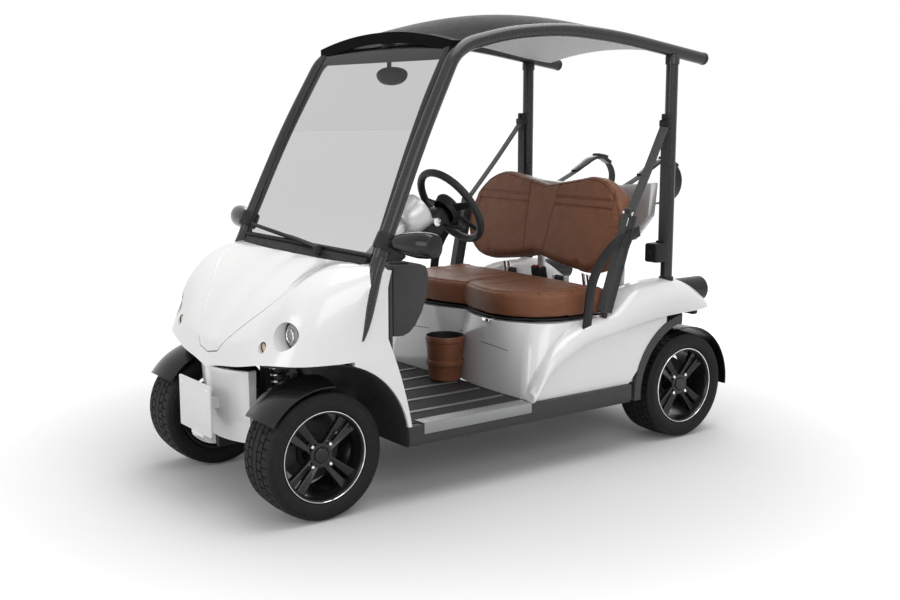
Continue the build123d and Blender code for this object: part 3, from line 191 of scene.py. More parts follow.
LINER = make_material("roof_liner", (0.72, 0.72, 0.73), 0.62, mottle=0.05, grain=0.5, grain_size=700,
                      rough_change=0.05)
GLASS = make_material("screen_glass", (0.02, 0.02, 0.022), 0.05, ior=1.45, alpha=0.28, mottle=0.01,
                      mottle_size=3, rough_change=0.01)
# Painted shade: a dark, nearly opaque sheet that stands in for the shade along the top of the windscreen
# under the roof header.
PAINTED_SHADE_BAND = make_material("glass_painted_shade", (0.01, 0.01, 0.0105), 0.1, ior=1.45, alpha=0.9, mottle=0.05,
                           mottle_size=3)
LENS = make_material("lamp_lens", (0.2, 0.205, 0.21), 0.06, coat=1.0, ior=1.5, mottle=0.25, mottle_size=30,
                     rough_change=0.02)
LENS_DARK = make_material("lamp_dark", (0.03, 0.03, 0.032), 0.12, shine=0.3, coat=1.0, mottle=0.2,
                          mottle_size=30)
REFLECTOR = make_material("lamp_reflector", (0.75, 0.75, 0.76), 0.12, metal=1.0, mottle=0.06, mottle_size=60)
AMBER = make_material("lamp_amber", (0.5, 0.36, 0.2), 0.15, coat=1.0, mottle=0.2, mottle_size=120)
RED = make_material("red_plastic", (0.5, 0.01, 0.01), 0.2, coat=0.7, mottle=0.15, mottle_size=90, grain=0.05)
RUBBER = make_material("tyre_rubber", (0.013, 0.013, 0.0135), 0.62, shine=0.15, mottle=0.18, mottle_size=40,
                       grain=0.3, grain_size=1100, rough_change=0.08, wear=0.012)
MAT = make_material("floor_mat", (0.026, 0.026, 0.027), 0.66, shine=0.2, mottle=0.1, mottle_size=50,
                    grain=0.6, grain_size=1000, rough_change=0.06)
LEATHER = make_material("brown_leather", (0.185, 0.07, 0.033), 0.45, shine=0.3, mottle=0.1, mottle_size=22,
                        pores=0.28, pore_size=520, rough_change=0.07, wear=0.012)
LEATHER_DARK = make_material("leather_seam", (0.1, 0.037, 0.017), 0.5, shine=0.3, mottle=0.12, mottle_size=50,
                             pores=0.2)
THREAD = make_material("thread", (0.12, 0.05, 0.026), 0.6, mottle=0.2, mottle_size=300, grain=0.5)
WHEEL_LEATHER = make_material("wheel_leather", (0.02, 0.02, 0.021), 0.42, shine=0.25, mottle=0.15, pores=0.4,
                              pore_size=650, rough_change=0.06)
ALLOY = make_material("alloy_black", (0.009, 0.009, 0.0095), 0.24, shine=0.3, coat=0.2, mottle=0.15,
                      mottle_size=30, rough_change=0.04, grain=0.05, wear=0.01)
PLATE = make_material("plate_white", (0.74, 0.74, 0.735), 0.35, mottle=0.02, mottle_size=40, grain=0.1,
                      rough_change=0.03)
BIN_INSIDE = make_material("bin_inside", (0.02, 0.02, 0.021), 0.5, shine=0.2, mottle=0.15, grain=0.3)


def webbing_material(name, color):
    """Woven belt webbing: fine ribs across and along the weave."""
    mat = make_material(name, color, 0.7, mottle=0.15, mottle_size=90, sheen=0.15)
    tree = mat.node_tree
    coord = tree.nodes["Texture Coordinate"]
    ribs = {}
    for index, direction in enumerate(("DIAGONAL", "Z")):
        wave = add_node(tree, "TexWave", {"Scale": 260, "Distortion": 0.6},
                        {"Vector": coord.outputs["Object"]})
        wave.bands_direction = direction
        ribs[index] = wave.outputs["Fac"]
    add = add_node(tree, "Math", {}, ribs)
    bump = add_node(tree, "Bump", {"Strength": 0.45, "Distance": 0.0006}, {"Height": add.outputs["Value"]})
    tree.links.new(bump.outputs["Normal"], tree.nodes["Principled BSDF"].inputs["Normal"])
    return mat


WEBBING = webbing_material("webbing", (0.045, 0.045, 0.047))

NODE_LOOKS = (
    (WHITE, "front_body bonnet bumper seat_base rear_wings"),
    (PLATE, "number_plate"),
    (ROOF_BLACK, "roof_header roof_panel"),
    (BLACK_GLOSS, "mudguard_left mudguard_right rear_mudguards rear_canisters mirrors"),
    (LINER, "roof_liner"),
    (FRAME_BLACK, "roof_rails rear_posts"),
    (GLASS, "windscreen"),
    (GREY_TRIM, "rear_arch_trims sills dashboard side_pockets"),
    (TRIM, "arch_liners cowl batteries bag_tray seat_pan hip_restraints belt_fittings steering_column wiper"),
    (METAL_DARK, "pedals floor_board chassis front_suspension shock_absorbers rear_axle"),
    (METAL_DARK, "knuckle_left knuckle_right"),
    (MAT, "floor_mat"),
    (BRUSHED, "floor_trim"),
    (SILVER, "bag_panel"),
    (CHROME, "backrest_posts"),
    (LENS_DARK, "lamps"),
)
WELD_DISTANCE = 0.00002
EDGE_ANGLE = 28                 # degrees between faces from which an edge stays sharp
BEVEL_ANGLE = 40
BEVELS = {"side_pockets": 0.006, "sills": 0.004, "floor_trim": 0.001, "bag_panel": 0.004, "cowl": 0.003,
          "dashboard": 0.006, "bag_tray": 0.003, "hip_restraints": 0.0025, "number_plate": 0.0012,
          "belt_fittings": 0.003, "steering_column": 0.002, "pedals": 0.002, "chassis": 0.002}


def dress_cad_node(node, mat):
    """Material, smooth curves and rounded edges for a CAD node, whose vertices stay as they are."""
    obj = nodes[node]
    mesh = obj.data
    mesh.materials.clear()
    mesh.materials.append(mat)
    mesh.polygons.foreach_set("use_smooth", [True] * len(mesh.polygons))
    joined = obj.modifiers.new("weld", "WELD")
    joined.merge_threshold = WELD_DISTANCE
    if node in BEVELS:
        bevel = obj.modifiers.new("bevel", "BEVEL")
        bevel.width = BEVELS[node]
        bevel.segments = 2
        bevel.limit_method = "ANGLE"
        bevel.angle_limit = math.radians(BEVEL_ANGLE)
        bevel.harden_normals = True
    else:
        split = obj.modifiers.new("edges", "EDGE_SPLIT")
        split.split_angle = math.radians(EDGE_ANGLE)
        split.use_edge_sharp = False


for look, node_names in NODE_LOOKS:
    for node_name in node_names.split():
        dress_cad_node(node_name, look)


# ---------------------------------------------------------------- mesh helpers
def smooth_path(points, steps, closed=False):
    """Points of a smooth curve through the given ones."""
    points = [Vector(p) for p in points]
    count = len(points)
    made = []
    for i in range(count if closed else count - 1):
        p1, p2 = points[i], points[(i + 1) % count]
        p0 = points[i - 1] if closed or i else p1 * 2 - p2
        p3 = points[(i + 2) % count] if closed or i + 2 < count else p2 * 2 - p1
        for k in range(steps):
            t = k / steps
            made.append(0.5 * (2 * p1 + (p2 - p0) * t + (2 * p0 - 5 * p1 + 4 * p2 - p3) * t * t
                               + (3 * p1 - p0 - 3 * p2 + p3) * t ** 3))
    if not closed:
        made.append(points[-1])
    return made


def circle(radius, segments=16, squash=1.0):
    return [(radius * math.cos(a), radius * squash * math.sin(a))
            for a in (2 * math.pi * i / segments for i in range(segments))]


def rounded_section(width, height, radius, steps=4):
    """Outline of a rectangle with round corners, as (across, up) pairs."""
    made = []
    for cx, cy, start in ((1, 1, 0), (-1, 1, 90), (-1, -1, 180), (1, -1, 270)):
        for i in range(steps + 1):
            a = math.radians(start + 90 * i / steps)
            made.append((cx * (width / 2 - radius) + radius * math.cos(a),
                         cy * (height / 2 - radius) + radius * math.sin(a)))
    return made


SHAPE_WELD = 0.00001


class Shape:
    """A mesh put together from simple forms, each with its own material."""

    def __init__(self, name):
        self.name = name
        self.verts = []
        self.faces = []
        self.face_mats = []
        self.mats = []

    def add(self, verts, faces, mat):
        if mat not in self.mats:
            self.mats.append(mat)
        base = len(self.verts)
        self.verts += [Vector(v) for v in verts]
        self.faces += [tuple(base + i for i in face) for face in faces]
        self.face_mats += [self.mats.index(mat)] * len(faces)

    def rings(self, rings, mat, closed=False):
        """Skin over rings of equally many points."""
        count = len(rings[0])
        verts = [v for ring in rings for v in ring]
        faces = []
        last = len(rings) if closed else len(rings) - 1
        for i in range(last):
            a, b = i * count, (i + 1) % len(rings) * count
            for j in range(count):
                k = (j + 1) % count
                faces.append((a + j, a + k, b + k, b + j))
        if not closed:
            faces.append(tuple(reversed(range(count))))
            faces.append(tuple(range((len(rings) - 1) * count, len(rings) * count)))
        self.add(verts, faces, mat)

    def sweep(self, points, section, mat, up=(0, 0, 1), scales=None, closed=False):
        """Section carried along points; the section's second axis keeps close to the up direction."""
        points = [Vector(p) for p in points]
        count = len(points)
        rings = []
        for i, p in enumerate(points):
            before = points[i - 1] if closed or i else p
            after = points[(i + 1) % count] if closed or i + 1 < count else p
            tangent = (after - before).normalized()
            side = tangent.cross(Vector(up)).normalized()
            high = side.cross(tangent).normalized()
            scale = scales[i] if scales else 1.0
            rings.append([p + side * (u * scale) + high * (v * scale) for u, v in section])
        self.rings(rings, mat, closed)

    def lathe(self, origin, axis, profile, mat, segments=64, closed=False, start=(0, 0, 1)):
        """Profile of (distance along the axis, radius) turned about the axis."""
        origin, axis = Vector(origin), Vector(axis).normalized()
        start = Vector(start) if abs(axis.dot(Vector(start))) < 0.9 else Vector((1, 0, 0))
        u = (start - axis * start.dot(axis)).normalized()
        v = axis.cross(u)
        rings = []
        for i in range(segments):
            a = 2 * math.pi * i / segments
            spoke = u * math.cos(a) + v * math.sin(a)
            rings.append([origin + axis * h + spoke * r for h, r in profile])
        count = len(profile)
        verts = [p for ring in rings for p in ring]
        faces = []
        for i in range(segments):
            a, b = i * count, (i + 1) % segments * count
            for j in range(count if closed else count - 1):
                k = (j + 1) % count
                faces.append((a + j, b + j, b + k, a + k))
        self.add(verts, faces, mat)

    def box(self, lo, hi, mat, radius=0.0, matrix=None):
        """Box with rounded edges."""
        bm = bmesh.new()
        bmesh.ops.create_cube(bm, size=1)
        lo, hi = Vector(lo), Vector(hi)
        size, middle = hi - lo, (lo + hi) / 2
        for v in bm.verts:
            v.co = Vector((v.co.x * size.x, v.co.y * size.y, v.co.z * size.z)) + middle
        if radius:
            bmesh.ops.bevel(bm, geom=bm.edges[:], offset=radius, segments=3, profile=0.5, affect="EDGES")
        self.take(bm, mat, matrix)

    def take(self, bm, mat, matrix=None):
        bm.verts.index_update()
        verts = [(matrix @ v.co) if matrix else v.co.copy() for v in bm.verts]
        faces = [tuple(v.index for v in f.verts) for f in bm.faces]
        self.add(verts, faces, mat)
        bm.free()

    def prism(self, outline, depth, mat, radius=0.0, matrix=None, segments=3):
        """Outline in the XY plane drawn up by depth, its edges rounded."""
        bm = bmesh.new()
        low = [bm.verts.new((x, y, 0)) for x, y in outline]
        face = bm.faces.new(low)
        grown = bmesh.ops.extrude_face_region(bm, geom=[face])
        bmesh.ops.translate(bm, verts=[g for g in grown["geom"] if isinstance(g, bmesh.types.BMVert)],
                            vec=(0, 0, depth))
        bmesh.ops.recalc_face_normals(bm, faces=bm.faces[:])
        if radius:
            sharp = [e for e in bm.edges if e.calc_face_angle(0) > math.radians(50)]
            bmesh.ops.bevel(bm, geom=sharp, offset=radius, segments=segments, profile=0.5, affect="EDGES")
        self.take(bm, mat, matrix)

    def mirrored(self):
        """Adds the mirror image of everything so far across the centre plane."""
        base = len(self.verts)
        self.verts += [Vector((-v.x, v.y, v.z)) for v in self.verts]
        self.faces += [tuple(base + i for i in reversed(face)) for face in self.faces]
        self.face_mats += list(self.face_mats)

    def make(self, body, replaces=(), angle=35):
        mesh = bpy.data.meshes.new(self.name)
        mesh.from_pydata([tuple(v) for v in self.verts], [], self.faces)
        for mat in self.mats:
            mesh.materials.append(mat)
        mesh.polygons.foreach_set("material_index", self.face_mats)
        mesh.polygons.foreach_set("use_smooth", [True] * len(mesh.polygons))
        weld(mesh, SHAPE_WELD)
        mesh.set_sharp_from_angle(angle=math.radians(angle))
        obj = add_object(self.name, mesh)
        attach(obj, body)
        if replaces:
            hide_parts(*replaces)
        return obj


def bolt_head(shape, origin, axis, size, mat, height=None):
    """Domed bolt head standing on a surface."""
    high = height or size * 0.6
    profile = [(-0.001, size), (high * 0.6, size), (high * 0.9, size * 0.82), (high, size * 0.45), (high, 0)]
    shape.lathe(origin, axis, profile, mat, segments=12)


# ---------------------------------------------------------------- wheels
RIB_EDGES = ((-78, -50), (-44, -19), (-13, 13), (19, 44), (50, 78))   # tread ribs across the tyre
GROOVE_DEPTH = 6.0
CUT_DEPTH = 3.6
PITCHES = 44
SIDEWALL = ((-84, 164), (-88.5, 167), (-93, 176), (-95, 190), (-94.4, 203), (-92, 206), (-91.5, 210),
            (-87.5, 218), (-82, 223))


def wheel_centre(end, side):
    return Vector((side * TRACK_HALF / 1000, REAR_AXLE if end == "rear" else FRONT_AXLE, TYRE_RADIUS / 1000))


def mm(pairs):
    """Millimetres to metres for the profile of a lathe."""
    return [(a / 1000, b / 1000) for a, b in pairs]


def crown(x):
    """Radius of the tread at a distance from the tyre's middle."""
    return 227.8 - 4.8 * (x / 82) ** 2


def tyre(name, end, side):
    """Tyre with five ribs, cut across into blocks in two staggered rows."""
    profile = [(x, r, 0, 0) for x, r in SIDEWALL]
    for rib, (x0, x1) in enumerate(RIB_EDGES):
        row = 1 + rib % 2 if rib != 2 else 0
        if rib:
            profile.append((x0 - 0.8, crown(x0) - GROOVE_DEPTH, 0, 0))
        profile += [(x0, crown(x0), 0, 0), (x0 + 1.2, crown(x0), row, 1), (x1 - 1.2, crown(x1), row, 1),
                    (x1, crown(x1), 0, 0)]
        if rib < len(RIB_EDGES) - 1:
            profile.append((x1 + 0.8, crown(x1) - GROOVE_DEPTH, 0, 0))
    profile += [(-x, r, 0, 0) for x, r in reversed(SIDEWALL)]
    profile += [(76, 162, 0, 0), (74, 153, 0, 0), (-74, 153, 0, 0), (-76, 162, 0, 0)]
    steps = (0.0, 0.03, 0.17, 0.2, 0.5, 0.53, 0.67, 0.7)
    centre = wheel_centre(end, side)
    verts = []
    for pitch in range(PITCHES):
        for index, step in enumerate(steps):
            angle = 2 * math.pi * (pitch + step) / PITCHES
            cut = {1: index in (1, 2), 2: index in (5, 6), 0: False}
            for x, r, row, in_rib in profile:
                depth = CUT_DEPTH if in_rib and cut[row] else 0
                radius = (r - depth) / 1000
                verts.append(centre + Vector((x / 1000, radius * math.cos(angle), radius * math.sin(angle))))
    rows, count = PITCHES * len(steps), len(profile)
    faces = []
    for i in range(rows):
        a, b = i * count, (i + 1) % rows * count
        for j in range(count):
            k = (j + 1) % count
            faces.append((a + j, b + j, b + k, a + k))
    shape = Shape(f"tyre_tread_{end}_{name}")
    shape.add(verts, faces, RUBBER)
    shape.make(f"wheel_{end}_{name}", (f"tyre_{end}_{name}",), angle=30)


NUT_CIRCLE = 50
HUB_FACE = 58
RIM_PROFILE = ((-84, 162), (-84, 153), (-76, 146), (-74, 144.5), (60, 144.5), (70, 147.5), (79, 150),
               (84, 153), (85.5, 158), (84, 162), (75, 160), (73, 152), (-73, 152), (-75, 160))


# One bar of a twin spoke, in millimetres: distance from the axle and from the middle of the pair, width,
# depth, and how far out its face is.
SPOKE_BAR = ((28, 14, 20, 26, 57), (60, 16, 22, 27, 60), (95, 19, 27, 26, 62), (125, 22, 32, 26, 64),
             (142, 24, 36, 30, 66), (147, 25, 38, 32, 66))
SPOKE_FALL = 0.007            # how far a bar's inner edge falls away towards the slot between the twins


def spoke_bar(shape, centre, side, angle, lean):
    turned = Matrix.Diagonal((side, 1, 1, 1)) @ Matrix.Rotation(angle, 4, "X")
    rings = []
    for reach, across, wide, deep, face in SPOKE_BAR:
        ring = []
        for u, v in rounded_section(wide / 1000, deep / 1000, 0.006, 3):
            fall = SPOKE_FALL if u * lean < 0 and v > 0 else 0.0
            point = Vector((face / 1000 - deep / 2000 + v - fall, lean * across / 1000 + u, reach / 1000))
            ring.append(centre + turned @ point)
        rings.append(ring)
    shape.rings(rings, ALLOY)


def wheel(name, end, side):
    """Black alloy wheel: four twin spokes, lug nuts at their roots, plain cap, bright ring, brake disc."""
    shape = Shape(f"wheel_{end}_{name}")
    centre = wheel_centre(end, side)
    out = Vector((side, 0, 0))
    shape.lathe(centre, out, mm(RIM_PROFILE), ALLOY, 96, closed=True)
    shape.lathe(centre, out, mm([(85, 157.2), (86.3, 158.2), (86.3, 160.2), (85, 161.2)]), CHROME, 96,
                closed=True)
    shape.lathe(centre, out, mm([(-24, 18), (-24, 40), (40, 42), (52, 45), (HUB_FACE, 43), (HUB_FACE + 2, 36),
                                 (HUB_FACE, 29), (HUB_FACE - 5, 28), (HUB_FACE - 5, 18)]), ALLOY, 48,
                closed=True)
    shape.lathe(centre, out, mm([(HUB_FACE - 8, 26.5), (HUB_FACE + 2, 26.5), (HUB_FACE + 5, 24),
                                 (HUB_FACE + 6, 12), (HUB_FACE + 6, 0)]), ALLOY, 40)
    for turn in range(4):
        angle = math.radians(45 + 90 * turn)
        for lean in (-1, 1):
            spoke_bar(shape, centre, side, angle, lean)
        seat = centre + Vector((0, math.sin(angle), math.cos(angle))) * (NUT_CIRCLE / 1000)
        shape.lathe(seat, out, mm([(30, 13), (46, 13), (48, 11), (48, 8.5)]), METAL_DARK, 24)
        shape.lathe(seat, out, mm([(44, 8.5), (60, 8.5), (63, 6.5), (64.5, 4), (64.5, 0)]), CHROME, 6)
    # Brake disc with a hat and a ring of dark holes.
    shape.lathe(centre, out, mm([(-25, 60), (-25, 108), (-15, 108), (-15, 60)]), METAL_DARK, 64, closed=True)
    shape.lathe(centre, out, mm([(-16, 30), (-16, 62), (-6, 58), (-6, 30)]), METAL_DARK, 48, closed=True)
    for k in range(16):
        angle = 2 * math.pi * (k + 0.3) / 16
        for reach in (76, 92):
            spot = centre + Vector((0, math.sin(angle + reach / 300),
                                    math.cos(angle + reach / 300))) * (reach / 1000)
            shape.lathe(spot, out, mm([(-15.2, 3), (-14.9, 3), (-14.9, 0)]), METAL_DARK, 8)
    # Valve near the rim.
    valve = centre + Vector((0, math.sin(0.9), math.cos(0.9))) * 0.139
    shape.lathe(valve, out, mm([(40, 3), (66, 3), (67, 4), (74, 4), (75, 2), (75, 0)]), TRIM, 12)
    shape.make(f"wheel_{end}_{name}", (f"rim_{end}_{name}",), angle=32)


for end in ("front", "rear"):
    for name, side in SIDES:
        tyre(name, end, side)
        wheel(name, end, side)


# ---------------------------------------------------------------- front end
def lamps():
    """Headlamps and indicators in their recesses, and the red lamps under the rear wings."""
    shape = Shape("lamp_units")
    for x, y, z, radius in ((425, -77, 648, 46), (336, -138, 600, 18)):
        spot = at(x, y, z)
        forward = Vector((0, -1, 0))
        r = radius / 1000
        small = radius < 30
        # Lens, its dark ring and the reflector bowl behind.
        dome = [(0.001 + r * 0.16 * math.cos(math.pi / 2 * i / 8),
                 r * 0.9 * math.sin(math.pi / 2 * i / 8)) for i in range(8, -1, -1)]
        shape.lathe(spot, forward, [(-0.03, r), (0.003, r), (0.004, r * 0.96), (0.001, r * 0.9)], TRIM, 48)
        shape.lathe(spot, forward, dome, AMBER if small else LENS, 48)
        if not small:
            shape.lathe(spot, forward, [(0.0105, r * 0.55), (0.013, r * 0.5), (0.0105, r * 0.45)], REFLECTOR,
                        48)
    shape.box(at(402, 1848, 526), at(474, 1874, 550), TRIM, 0.004)
    shape.box(at(404, 1872, 528), at(472, 1880, 548), RED, 0.003)
    shape.mirrored()
    shape.make("cart", ("lamps",))


def plate_details():
    shape = Shape("plate_border")
    lo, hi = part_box("number_plate")
    y = lo.y
    cx, cz = (lo.x + hi.x) / 2, (lo.z + hi.z) / 2
    half_w, half_h = (hi.x - lo.x) / 2, (hi.z - lo.z) / 2
    outline = rounded_section(2 * half_w - 0.012, 2 * half_h - 0.012, 0.006, 5)
    edge = [Vector((cx + u, y + 0.0006, cz + v)) for u, v in outline]
    shape.sweep(edge, circle(0.0009, 8), PLATE, up=(0, 1, 0), closed=True)
    for side in (-1, 1):
        bolt_head(shape, (cx + side * (half_w - 0.03), y + 0.0005, cz + half_h - 0.02), (0, -1, 0), 0.005,
                  CHROME, 0.002)
    shape.make("cart")


def cowl_details():
    """Louvres of the cowl and the wiper lying along the foot of the glass."""
    shape = Shape("cowl_vents")
    for row in range(3):
        y = 212 + row * 12
        shape.box(at(-300, y, 892.5), at(300, y + 5, 894.6), TRIM, 0.001)
    for side in (-1, 1):
        for k in range(3):
            x = side * (330 + k * 34)
            shape.box(at(x - 12, 212, 892.5), at(x + 12, 244, 894.4), TRIM, 0.001)
    shape.make("cart")
    shape = Shape("wiper_arm")
    pivot = at(140, 190, 893)
    shape.lathe(pivot, (0, -0.35, 1), [(-0.012, 0.017), (0.012, 0.015), (0.018, 0.011), (0.02, 0)], TRIM, 24)
    arm = [pivot + Vector((0, -0.006, 0.012)), at(60, 193, 911), at(-60, 200, 921), at(-170, 209, 925)]
    shape.sweep(smooth_path(arm, 6), rounded_section(0.014, 0.007, 0.003, 2), TRIM, up=(0, -0.4, 1),
                scales=[1.25 - 0.5 * i / 18 for i in range(19)])
    low, high = at(90, 206, 900), at(-440, 221, 941)
    middle = (low + high) / 2 + Vector((0, -0.006, 0.004))
    shape.sweep(smooth_path([low, middle, high], 12), rounded_section(0.006, 0.016, 0.0025, 2), TRIM,
                up=(0, -0.4, 1))
    shape.sweep(smooth_path([low, middle + Vector((0, 0.005, -0.004)), high], 12),
                rounded_section(0.002, 0.02, 0.0008, 1),
                RUBBER, up=(0, -0.4, 1))
    shape.make("cart", ("wiper",))


def glass_details():
    """Dark band along the top of the windscreen, a painted shade under the roof header, and its slim black
    seal round the edge.
    """
    shape = Shape("screen_seal")
    edge = [at(x, y + 2, z) for x, y, z in ((478, 220, 897), (481, 240, 950), (468, 336, 1170),
                                            (461, 394, 1298), (450, 470, 1450), (439, 556, 1600),
                                            (430, 572, 1624))]
    for side in (-1, 1):
        line = [Vector((side * (p.x - 0.008), p.y - 0.001, p.z)) for p in edge]
        shape.sweep(smooth_path(line, 6), rounded_section(0.034, 0.007, 0.003, 2), TRIM, up=(0, -1, 0.5))
    foot = [at(x, 214, 899) for x in (-476, -240, 0, 240, 476)]
    shape.sweep(smooth_path(foot, 6), rounded_section(0.014, 0.02, 0.004, 2), TRIM, up=(0, -0.4, 1))
    # Painted shade: this dark band over the top of the glass stands in for the shade under the roof header.
    band = [at(x, 563, 1606) for x in (-432, -216, 0, 216, 432)]
    shape.sweep(band, rounded_section(0.07, 0.004, 0.0015, 2), PAINTED_SHADE_BAND, up=(0, -1, 0.57))
    shape.make("cart")


def side_mirror(shape):
    z = 952
    # Clamp round the windscreen pillar, stalk and a long pod, flat at the back.
    shape.lathe(at(509, 243, z), (0.05, 0.44, 0.9), [(-0.03, 0.0262), (-0.03, 0.034), (-0.022, 0.037),
                                                     (0.022, 0.037), (0.03, 0.034), (0.03, 0.0262)], TRIM, 40)
    bolt_head(shape, at(522, 208, z - 8), (0.4, -0.9, -0.1), 0.006, TRIM)
    stalk = [at(534, 246, z), at(548, 249, z), at(566, 256, z)]
    shape.sweep(smooth_path(stalk, 5), circle(0.017, 20), BLACK_GLOSS, up=(0, 0, 1))
    pod = []
    for x, half_h, front, back in ((546, 18, 234, 264), (556, 25, 231, 272), (585, 34, 232, 289),
                                   (625, 41, 236, 307), (660, 45, 240, 320), (695, 44, 250, 328),
                                   (714, 41, 259, 332), (724, 37, 264, 330), (727, 29, 272, 322)):
        ring = []
        for i in range(32):
            a = 2 * math.pi * i / 32
            u, v = math.cos(a), math.sin(a)
            flat = 0.55 if u > 0 else 1.0
            u = math.copysign(abs(u) ** flat, u)
            ring.append(at(x, (front + back) / 2 + u * (back - front) / 2, z + half_h * v))
        pod.append(ring)
    shape.rings(pod, BLACK_GLOSS)
    shape.prism(rounded_section(0.096, 0.07, 0.026, 6), 0.002, CHROME, 0, Matrix.Translation(at(664, 322, z))
                @ Matrix.Rotation(math.radians(16), 4, "Z") @ Matrix.Rotation(math.radians(-90), 4, "X"))


def inside_mirror(shape):
    """Shield-shaped shell on a stalk from the header, its glass to the rear."""
    shell = []
    for depth, grow in ((610, 0.35), (616, 0.75), (626, 0.97), (640, 1.0), (650, 0.96)):
        ring = []
        for i in range(36):
            a = 2 * math.pi * i / 36
            wide = 96 * math.cos(a) * grow
            tall = (30 if math.sin(a) > 0 else 42) * math.sin(a) * grow
            ring.append(at(wide - 35, depth, 1534 + tall))
        shell.append(ring)
    shape.rings(shell, TRIM)
    shape.prism([(96 * 0.88 * math.cos(2 * math.pi * i / 36) / 1000,
                  (27 if math.sin(2 * math.pi * i / 36) > 0 else 37) * math.sin(2 * math.pi * i / 36) / 1000)
                 for i in range(36)], 0.0015, CHROME, 0,
                Matrix.Translation(at(-35, 650, 1534)) @ Matrix.Rotation(math.radians(90), 4, "X")
                @ Matrix.Diagonal((1, 1, -1, 1)))
    shape.sweep(smooth_path([at(-35, 626, 1550), at(-14, 612, 1600), at(0, 606, 1646)], 6), circle(0.009, 16),
                TRIM, up=(1, 0, 0))
    shape.lathe(at(0, 603, 1648), (0, 0.15, -1), [(-0.004, 0.03), (0.01, 0.028), (0.016, 0.018), (0.018, 0)],
                TRIM, 32)


def mirrors():
    shape = Shape("mirror_pods")
    side_mirror(shape)
    shape.mirrored()
    inside_mirror(shape)
    shape.make("cart", ("mirrors",))


lamps()
plate_details()
cowl_details()
glass_details()
mirrors()


# ---------------------------------------------------------------- running gear details
ARCH_FIXINGS = 321            # radius of the screws round a wheel arch


def springs_and_bolts():
    """Coil springs round the front dampers and the screws of the wheel arches."""
    shape = Shape("front_springs")
    for side in (1, -1):
        foot, head = at(side * 236, 0, 160), at(side * 189, -10, 530)
        axis = (head - foot).normalized()
        u = axis.cross(Vector((0, 1, 0))).normalized()
        v = axis.cross(u)
        turns, steps = 9, 16
        points = []
        for i in range(turns * steps + 1):
            t = i / (turns * steps)
            a = 2 * math.pi * turns * t
            points.append(foot.lerp(head, 0.36 + 0.58 * t) + (u * math.cos(a) + v * math.sin(a)) * 0.031)
        shape.sweep(points, circle(0.0052, 8), CHROME, up=axis)
        for share in (0.34, 0.955):
            shape.lathe(foot.lerp(head, share), axis, [(-0.004, 0.022), (-0.004, 0.038), (0.004, 0.038),
                                                       (0.004, 0.022)], METAL_DARK, 32)
    shape.make("cart")
    shape = Shape("arch_fixings")
    for degrees in (92, 128, 158):
        a = math.radians(degrees)
        y, z = -ARCH_FIXINGS * math.cos(a), ARCH_FIXINGS * math.sin(a)
        bolt_head(shape, at(505, y, TYRE_RADIUS + z), Vector((0, -y, -z)).normalized(), 0.006, METAL_DARK)
    shape.mirrored()
    shape.make("cart")


springs_and_bolts()


def floor_details():
    """Screws of the step plates and pips along the rubbing strips."""
    shape = Shape("step_screws")
    for y in (400, 874):
        bolt_head(shape, at(490, y, 293), (0, 0, 1), 0.0045, CHROME, 0.002)
    shape.box(at(486, 396, 292.6), at(530, 882, 293.6), BRUSHED, 0.0004)
    for k in range(5):
        x = 491 + k * 9
        shape.box(at(x, 420, 293.3), at(x + 3, 858, 294.4), BRUSHED, 0.0005)
    shape.mirrored()
    shape.make("cart")


floor_details()


# ---------------------------------------------------------------- roof
def roof_details():
    """End caps of the rails, collars of the rear posts and the groove lines of the header."""
    shape = Shape("roof_caps")
    for side in (1, -1):
        end, before = at(side * 456, 1880, 1608), at(side * 456, 1388, 1681)
        axis = (end - before).normalized()
        shape.lathe(end, axis, [(-0.012, 0.0258), (0.0, 0.0258), (0.004, 0.023), (0.006, 0.015), (0.006, 0)],
                    TRIM, 32)
        ring = at(side * 456, 1692, 1601)
        shape.lathe(ring, (0, 0, 1), [(-0.02, 0.0255), (-0.02, 0.029), (0.012, 0.029), (0.018, 0.0255)],
                    FRAME_BLACK, 32)
        foot = at(side * 456, 1692, 690)
        shape.lathe(foot, (0, 0, 1), [(-0.03, 0.0255), (-0.03, 0.031), (0.012, 0.031), (0.016, 0.0255)], TRIM,
                    32)
    for y in (578, 622):
        xs = [-424 + 848 * i / 24 for i in range(25)]
        line = [at(x, y, 1642.4 + 48 * (1 - (x / 456) ** 2)) for x in xs]
        shape.sweep(line, rounded_section(0.004, 0.002, 0.0009, 2), TRIM, up=(0, 0, 1))
    shape.make("cart")


roof_details()


# ---------------------------------------------------------------- controls
WHEEL_CENTRE = at(250, 712, 1035)
RIM_RADIUS = 154
RIM_STITCHES = 88
TILT = math.radians(33)
COLUMN = Vector((0, math.cos(TILT), math.sin(TILT)))        # up the steering column, towards the driver
WHEEL_RIGHT = Vector((1, 0, 0))
WHEEL_UP = COLUMN.cross(WHEEL_RIGHT) * -1


def on_wheel(right, up, out=0.0):
    """Point in the steering wheel's own plane, in millimetres."""
    return WHEEL_CENTRE + (WHEEL_RIGHT * right + WHEEL_UP * -up + COLUMN * out) / 1000


